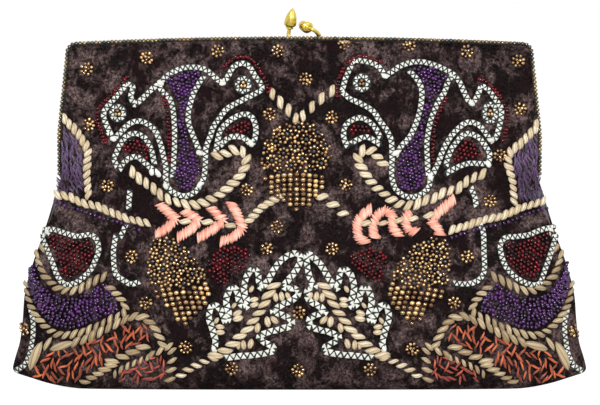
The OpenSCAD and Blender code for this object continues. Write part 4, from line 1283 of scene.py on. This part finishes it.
def lay_floss(sewing, spine_unit, rng):
    """Floss: satin stitch across the coral bands, and seed stitches strewn over the coloured fields."""
    satin_stitch = stitch_unit("satin_stitch", 0.17, 0.15, sides=6, rings=7, fullness=0.35)
    seed_stitch = stitch_unit("floss_stitch", 0.2, 0.2, rings=7, curl=0.06)
    fine_stitch = stitch_unit("fine_stitch", 0.17, 0.17, sides=6, rings=7, fullness=0.3)
    sewing.row("coral_bands", CORAL_BANDS, satin_stitch, "coral", Pitch=1.5 * PIXEL, Size=12.4 * PIXEL,
               Turn=math.radians(58), Turn_jitter=0.14, Size_jitter=0.12, Lift=0.3 * MM, Seed=9)
    sewing.spots("coral_spines", CORAL_SPINES, spine_unit, "cream", Size=PIXEL, Lift=0.6 * MM, Seed=10)
    for colour, outline, step, long, spread, seed in (("orange", ORANGE_FIELD, ORANGE_STEP, 12.4, 62, 11),
                                                      ("brick", BRICK_FIELD, BRICK_STEP, 11.6, 70, 12)):
        places = short_stitches(outline, step, 100, spread, rng, long)
        sewing.pair(colour + "_seed_stitches", places, (seed_stitch, seed_stitch), colour, Lift=0.4 * MM,
                    Roll_jitter=0.4, Seed=seed)
    places = [p for panel in VIOLET_PANELS for p in short_stitches(panel, VIOLET_STEP, 80, 30, rng)]
    sewing.spots("violet_stitches", places, fine_stitch, "violet", Size=11.0 * PIXEL, Lift=0.2 * MM, Seed=13)


def purple_places(rng):
    """Beads on the funnels of the flowers, strung round the crescents and along the side sprigs."""
    places = []
    for funnel in FUNNELS:
        places += filled(funnel, FUNNEL_GAPS, 80, rng, 0.22)
    for top, low in ((CRESCENT_TOP, CRESCENT_LOW), (mirrored(CRESCENT_TOP), mirrored(CRESCENT_LOW))):
        places += strung(top, low, CRESCENT_STRINGS, CRESCENT_PITCH, rng, 0.26)
    for line in SIDE_BEAD_ROWS:
        places += strung(line, line, 1, SIDE_STRING_PITCH, rng)
    return places


def garnet_places(rng):
    """Beads in the petals, hearts and fans, and in double rows outside the flowers."""
    places = []
    for turn, outline in PETAL_FILLS:
        places += filled(outline, PETAL_GAPS, turn, rng)
    for turn, outline in GARNET_HEARTS:
        beads = filled(outline, FAN_GAPS, turn, rng, 0.16)
        places += [p for p in beads if roomy(outline, p, HEART_MARGIN)]
    for turn, outline in GARNET_FANS:
        places += filled(outline, FAN_GAPS, turn, rng, 0.2)
    for line in GARNET_ROWS:
        double = strung([(x - GARNET_OUT, y) for x, y in line], [(x + GARNET_IN, y) for x, y in line], 2,
                        GARNET_PITCH, rng, 0.2)
        places += [(x, y, turn, size * 0.86) for x, y, turn, size in double]
    return places


def lay_beads(sewing, rng):
    """Glass beads: the purple and garnet fields, the bronze rosettes, and the acorns."""
    seed, large = bead_unit("seed_bead", 0.78, 0.17), bead_unit("large_bead", 0.8, 0.16)
    purple, garnet = purple_places(rng), garnet_places(rng)
    for kind, places, draw in (("purple", purple, 15), ("garnet", garnet, 16)):
        sewing.spots(kind + "_beads", places, seed, kind, Size=4.2 * PIXEL, Lift=0.72 * MM, Roll_jitter=0.3,
                     Turn_jitter=0.2, Seed=draw)

    bronze = [p for x, y in ROSETTES for p in rosette(x, y, rng)]
    bronze += [p for x, y, _, _ in SMALL_RINGS for p in ring_fill(x, y)]
    dark = []
    for cap in ACORN_CAPS:
        net, holes = acorn_cap(*cap, rng)
        bronze += net
        dark += holes
    sewing.spots("bronze_beads", bronze, seed, "bronze", Size=4.7 * PIXEL, Lift=0.85 * MM, Roll_jitter=0.3,
                 Turn_jitter=0.25, Seed=17)
    sewing.spots("dark_beads", dark, large, "inky", Size=5.6 * PIXEL, Lift=0.7 * MM, Roll_jitter=0.3,
                 Seed=18)
    nuts = [p for nut in ACORN_NUTS for p in acorn_nut(*nut, rng)]
    sewing.spots("acorn_nuts", nuts, large, "bronze", Size=6.1 * PIXEL, Lift=1.0 * MM, Roll_jitter=0.25,
                 Turn_jitter=0.12, Seed=19)


def embroider(sewing):
    """Every random draw comes from one generator, in this order."""
    rng = random.Random(41)
    rope_units = curled_pair("rope_stitch", 0.46, 0.36, -0.1)
    lay_braids(sewing)
    lay_ropes(sewing, rope_units, rng)
    lay_floss(sewing, rope_units[0], rng)
    lay_beads(sewing, rng)


# The pieces

# How far the cloth lies from the frame's outer edge, and its depths under the front surface
VELVET_INSET, LINING_INSET, CARD_INSET = 2.2, 3.9, 8.9
VELVET_THICK = 0.9
CARD_DEPTH, CARD_THICK = 1.05, 0.35
LINING_DEPTH, LINING_THICK = 1.7, 0.4
POCKET_DEPTH, POCKET_SLACK, HEM = 2.1, 0.4, 0.35
# Share of the upper panel's height at which card and lining end, under the bar
UNDER_BAR = 0.99
# Least distance of the lining's outer and inner face from the middle
LINING_GAPS = (0.05, 0.5)
# Ripples in the velvet: how wide, how high, and a seed for each half
RIPPLES = [(26.0, 0.75, {"front": 1, "rear": 3}), (8.0, 0.26, {"front": 2, "rear": 5})]
# Folds in the lining: how wide, how high, their middle, the deepest, and a seed for each half
FOLD_WIDTH, FOLD_HEIGHT, FOLD_MIDDLE, DEEPEST_FOLD = 14.0, 0.8, 0.25, 0.9
FOLD_SEEDS = {"front": 9, "rear": 11}

# Velvet turned over the frame's edge, from its face to the middle: inset and depth
WRAP_PROFILE = [(3.6, 4.72), (2.6, 4.7), (2.1, 4.55), (1.84, 4.25), (1.76, 3.8), (1.75, 2.6), (1.75, 1.4),
                (1.75, 0.03)]
WRAP_FACE_ROWS = 4
WRAP_THICK, WRAP_FACE_THICK, WRAP_INNER_GAP = 0.45, 0.4, 0.05
# The strip's length is measured along the line at this inset, down to this height
WRAP_LINE, WRAP_END_Z, WRAP_STATIONS = 2.0, 84.6, 420
# Towards the hinge the strip grows narrower and flatter
TAPER_Z, TAPER_LENGTH, TAPER_INSET, TAPER_FLATTER = 91.5, 7.0, 0.9, 0.35
# Half of the gap where the halves of the bag meet
GAP = 0.02


def bend_with(piece):
    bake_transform(piece)


def dressed(piece, material):
    piece.data.materials.append(material)
    return piece


def fade(distance, over):
    """From 0 to 1 over that distance."""
    return np.clip(distance / over, 0, 1)


def shares_of(grid):
    """Share of the way up, and of the way from the middle to the side, for the rows and columns."""
    rows, columns = grid.shape[:2]
    return np.linspace(0, 1, rows)[:, None], np.abs(np.linspace(-1, 1, columns))[None, :]


def wrap_strip(name, back):
    """Velvet turned over the frame's edge, from the face to the line where the halves meet."""
    half = arm_length(WRAP_LINE, WRAP_END_Z)
    stations = np.linspace(-half, half, WRAP_STATIONS)
    outer = np.zeros((len(WRAP_PROFILE), len(stations), 3))
    inner = outer.copy()
    for j, s in enumerate(stations):
        low = clamp((abs(s) - arm_length(WRAP_LINE, TAPER_Z)) / TAPER_LENGTH)
        for i, (inset, y) in enumerate(WRAP_PROFILE):
            x, z, _ = frame_edge(abs(s), inset + TAPER_INSET * low)
            outer[i, j] = (math.copysign(x, s), -(y * (1 - TAPER_FLATTER * low) + GAP), z)
            x, z, _ = frame_edge(abs(s), inset + TAPER_INSET * low + WRAP_THICK)
            deeper = WRAP_FACE_THICK if i < WRAP_FACE_ROWS else 0.0
            inner[i, j] = (math.copysign(x, s), outer[i, j, 1] + deeper, z)
    inner[:, :, 1] = np.minimum(inner[:, :, 1], -WRAP_INNER_GAP)
    return sheet_between(name, outer[::-1], inner[::-1], back)


def velvet_half(half, material):
    """One side of the bag: pouch, fold and upper panel in one cloth, and the edge turned over the frame."""
    back = half == "rear"
    grid = half_surface(columns=233, rows=156, inset=VELVET_INSET)
    t, s = shares_of(grid)
    calm = fade(1 - s, 0.06) * fade(1 - t, 0.1) * fade(t - 0.09, 0.08)
    slack = sum(ripple(grid, width, seeds[half]) * height for width, height, seeds in RIPPLES)
    grid = grid + grid_normals(grid) * (slack * calm)[:, :, None]
    grid[:, :, 1] = np.minimum(grid[:, :, 1], -GAP)
    grid[:, :, 2] = np.maximum(grid[:, :, 2], 0.0)
    panel = dressed(sheet_between("velvet_" + half, grid, sunk(grid, VELVET_THICK), back), material)
    strip = dressed(wrap_strip("velvet_wrap_" + half, back), material)
    piece = joined("velvet_" + half, [panel, strip])
    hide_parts(half + "_panel_lower", half + "_fold_strip", half + "_panel_upper")
    bend_with(piece)
    return grid


def stiffener_half(half, material):
    """Buckram card behind the velvet, which keeps the side flat."""
    base = half_surface(columns=81, rows=90, inset=CARD_INSET, first_row=1, last_share=UNDER_BAR,
                        margin=0.05)
    card = sheet_between("stiffener_" + half, sunk(base, CARD_DEPTH), sunk(base, CARD_DEPTH + CARD_THICK),
                         half == "rear")
    dressed(card, material)
    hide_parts(half + "_stiffener_lower", half + "_stiffener_upper")
    bend_with(card)


def lining_half(half, material):
    """Satin lining, sewn in at the frame and slack in small folds below it."""
    back = half == "rear"
    base = half_surface(columns=121, rows=110, inset=LINING_INSET, last_share=UNDER_BAR)
    t, s = shares_of(base)
    calm = fade(1 - s, 0.12) * fade(1 - t, 0.3) * fade(t, 0.15)
    waves = ripple(base, FOLD_WIDTH, FOLD_SEEDS[half]) * FOLD_HEIGHT + FOLD_MIDDLE
    folds = np.clip(waves, 0, DEEPEST_FOLD) * calm
    # The back lining lies flatter, under the pocket
    folds *= 0.4 if back else 1.0
    deep = LINING_DEPTH + folds[:, :, None]
    lining = sheet_between("lining_" + half, sunk(base, deep, LINING_GAPS[0]),
                           sunk(base, deep + LINING_THICK, LINING_GAPS[1]), back)
    dressed(lining, material)
    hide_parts("lining_pouch", half + "_lining_upper")
    bend_with(lining)


def sewn_pocket(material):
    """Flat satin pocket on the back lining, hemmed at its open top, which stands a little away."""
    rows, columns = 48, 61
    bottom_row, top_row, half_share = 5, 10, 0.5
    shares = np.linspace(-half_share, half_share, columns)
    grid = through([[pouch_point(s, row) for s in shares] for row in POUCH_ROWS[bottom_row:top_row]], rows)
    t, s = shares_of(grid)
    slack = (1 - s ** 4) * (0.15 + 0.9 * t ** 2) + POCKET_SLACK
    thick = HEM * fade(t - 0.92, 0.02) + HEM
    pocket = sheet_between("slip_pocket_satin", sunk(grid, POCKET_DEPTH + slack[:, :, None]),
                           sunk(grid, POCKET_DEPTH + (slack + thick)[:, :, None]), True)
    dressed(pocket, material)
    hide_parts("slip_pocket")
    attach(pocket, "pouch")


def build_bag(materials):
    front_grid = velvet_half("front", materials["velvet"])
    velvet_half("rear", materials["velvet"])
    for half in ("front", "rear"):
        stiffener_half(half, materials["card"])
        lining_half(half, materials["lining"])
    sewn_pocket(materials["lining"])
    return front_grid


# Where the beads and their thread lie: inset from the frame's edge, and depth from the middle
EDGE_BEADS, EDGE_THREAD = (0.85, 3.2), (1.35, 3.0)
ABOVE_HINGE, EDGE_STEPS = 0.4, 900
# Height in metres from which the beads face upwards too, and how fast
UPWARDS_FROM, UPWARDS_GAIN = 0.09, 3


def edge_line(inset, y):
    """Line along a frame's edge from hinge to hinge, in metres."""
    length = arm_length(inset, HINGE_Z + ABOVE_HINGE)
    line = []
    for s in np.linspace(-length, length, EDGE_STEPS):
        x, z, _ = frame_edge(abs(s), inset)
        line.append((math.copysign(x, s) * MM, y * MM, z * MM))
    return line


def edge_up(point):
    """Outwards from the frame's edge: sideways at the hinges, and more upwards the higher the point."""
    x, _, z = point
    away = Vector((x, 0, max(0.0, z - UPWARDS_FROM) * UPWARDS_GAIN))
    return away.normalized()


def edge_beads(sewing):
    """Beads strung along each frame's edge, and the dark thread under them."""
    unit = bead_unit("edge_bead", 0.8, 0.2)
    link = stitch_unit("edge_link", 0.8, 0.3, sides=6, rings=5, fullness=0.3)
    for half, side, seed in (("front", -1, 20), ("rear", 1, 21)):
        line = edge_line(EDGE_BEADS[0], side * EDGE_BEADS[1])
        source = carrier("edge_beads_" + half, [line],
                         {"up": [edge_up(p) for p in line], "size": [1.0] * len(line)})
        piece = sewing.settle(source, unit, "edging", Pitch=1.62 * MM, Size=1.94 * MM, Turn_jitter=0.12,
                              Size_jitter=0.06, Seed=seed)
        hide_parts(half + "_bead_edging")
        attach(piece, half + "_frame")
        line = edge_line(EDGE_THREAD[0], side * EDGE_THREAD[1])
        source = carrier("edge_thread_" + half, [line],
                         {"up": [(0, side, 0)] * len(line), "size": [1.0] * len(line)})
        thread = sewing.settle(source, link, "couching", Pitch=1.1 * MM, Size=2.1 * MM, Seed=22)
        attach(thread, half + "_frame")


WORKED_NODES = {"purple_beads": "front_beadwork_lower", "braid_grains": "front_beadwork_upper",
                "acorn_nuts": "front_acorns_lower", "bronze_beads": "front_acorns_upper"}


def finish_embroidery(sewing):
    """Each kind of stitch or bead is one piece, laid on the front velvet."""
    for name, piece in sewing.finished().items():
        if name in WORKED_NODES:
            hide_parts(WORKED_NODES[name])
        bend_with(piece)


METAL = {"frame": ["front_frame_channel", "rear_frame_channel"],
         "clasp": ["front_clasp_arm", "rear_clasp_arm", "front_clasp_knob", "rear_clasp_knob"],
         "rivet": ["left_hinge_rivet", "right_hinge_rivet"]}


def dress_metal(materials):
    for finish, names in METAL.items():
        for name in names:
            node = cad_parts[name]
            node.data.materials.clear()
            dressed(node, materials[finish])


# The studio

# Each lamp: its name, its place, what it shines at, its size and its watts
LAMPS = [
    ("key", (-0.4, -1.15, 0.8), (0, 0, 0.07), 0.4, 5.0),
    ("fill", (0.9, -0.9, 0.5), (0, 0, 0.07), 0.9, 2.5),
    ("glint", (0.05, -1.25, 0.42), (0, 0, 0.08), 0.12, 9.0),
    ("rear", (0.3, 1.1, 0.8), (0, 0, 0.07), 0.8, 6.0),
]
FLOOR_SIZE, FLOOR_Z = 6, -0.0002
PAPER, PAPER_GLOW, GLOW_SHARE = (0.8, 0.8, 0.8, 1), 1.52, 0.62
WHITE, ROOM_LIGHT, SEEN_LIGHT = (1, 1, 1, 1), 0.3, 1.0


def make_floor():
    """White paper, which glows where the camera sees it."""
    bpy.ops.mesh.primitive_plane_add(size=FLOOR_SIZE, location=(0, 0, FLOOR_Z))
    floor = bpy.context.object
    floor.name = "floor"
    material, g = new_material("floor_paper")
    seen = g.out("ShaderNodeLightPath", None, None, "Is Camera Ray")
    paper = g.out("ShaderNodeBsdfDiffuse", None, {"Color": PAPER})
    glow = g.out("ShaderNodeEmission", None, {"Color": WHITE, "Strength": PAPER_GLOW})
    both = g.out("ShaderNodeMixShader", None, {0: seen * GLOW_SHARE, 1: paper, 2: glow})
    g.node("ShaderNodeOutputMaterial", None, {"Surface": both})
    dressed(floor, material)


def make_world():
    """Soft light all round, and white where it is seen directly, in brass or through glass."""
    world = bpy.data.worlds.new("studio")
    bpy.context.scene.world = world
    world.use_nodes = True
    world.node_tree.nodes.clear()
    g = Graph(world.node_tree)
    path = g.node("ShaderNodeLightPath").outputs
    camera, glossy, through_glass = [Value(g, path[name]) for name in
                                     ("Is Camera Ray", "Is Glossy Ray", "Is Transmission Ray")]
    soft = g.out("ShaderNodeBackground", None, {"Color": WHITE, "Strength": ROOM_LIGHT})
    bright = g.out("ShaderNodeBackground", None, {"Color": WHITE, "Strength": SEEN_LIGHT})
    straight = camera.most(glossy).most(through_glass)
    both = g.out("ShaderNodeMixShader", None, {0: straight, 1: soft, 2: bright})
    g.node("ShaderNodeOutputWorld", None, {"Surface": both})


def make_lamp(name, place, aim, size, watts):
    data = bpy.data.lights.new(name, "AREA")
    data.size = size
    data.energy = watts
    made = bpy.data.objects.new(name, data)
    made.location = place
    made.rotation_euler = (Vector(aim) - Vector(place)).to_track_quat("-Z", "Y").to_euler()
    bpy.context.scene.collection.objects.link(made)


def make_camera():
    data = bpy.data.cameras.new("camera")
    data.sensor_width = SENSOR
    data.lens = LENS
    made = bpy.data.objects.new("camera", data)
    made.location = TARGET + BACK * DISTANCE
    made.rotation_euler = (-BACK).to_track_quat("-Z", "Y").to_euler()
    bpy.context.scene.collection.objects.link(made)
    bpy.context.scene.camera = made


make_camera()
materials = make_materials()
sewing = Sewing(Cloth(build_bag(materials)), materials)
embroider(sewing)
finish_embroidery(sewing)
edge_beads(sewing)
dress_metal(materials)
make_floor()
make_world()
for settings in LAMPS:
    make_lamp(*settings)
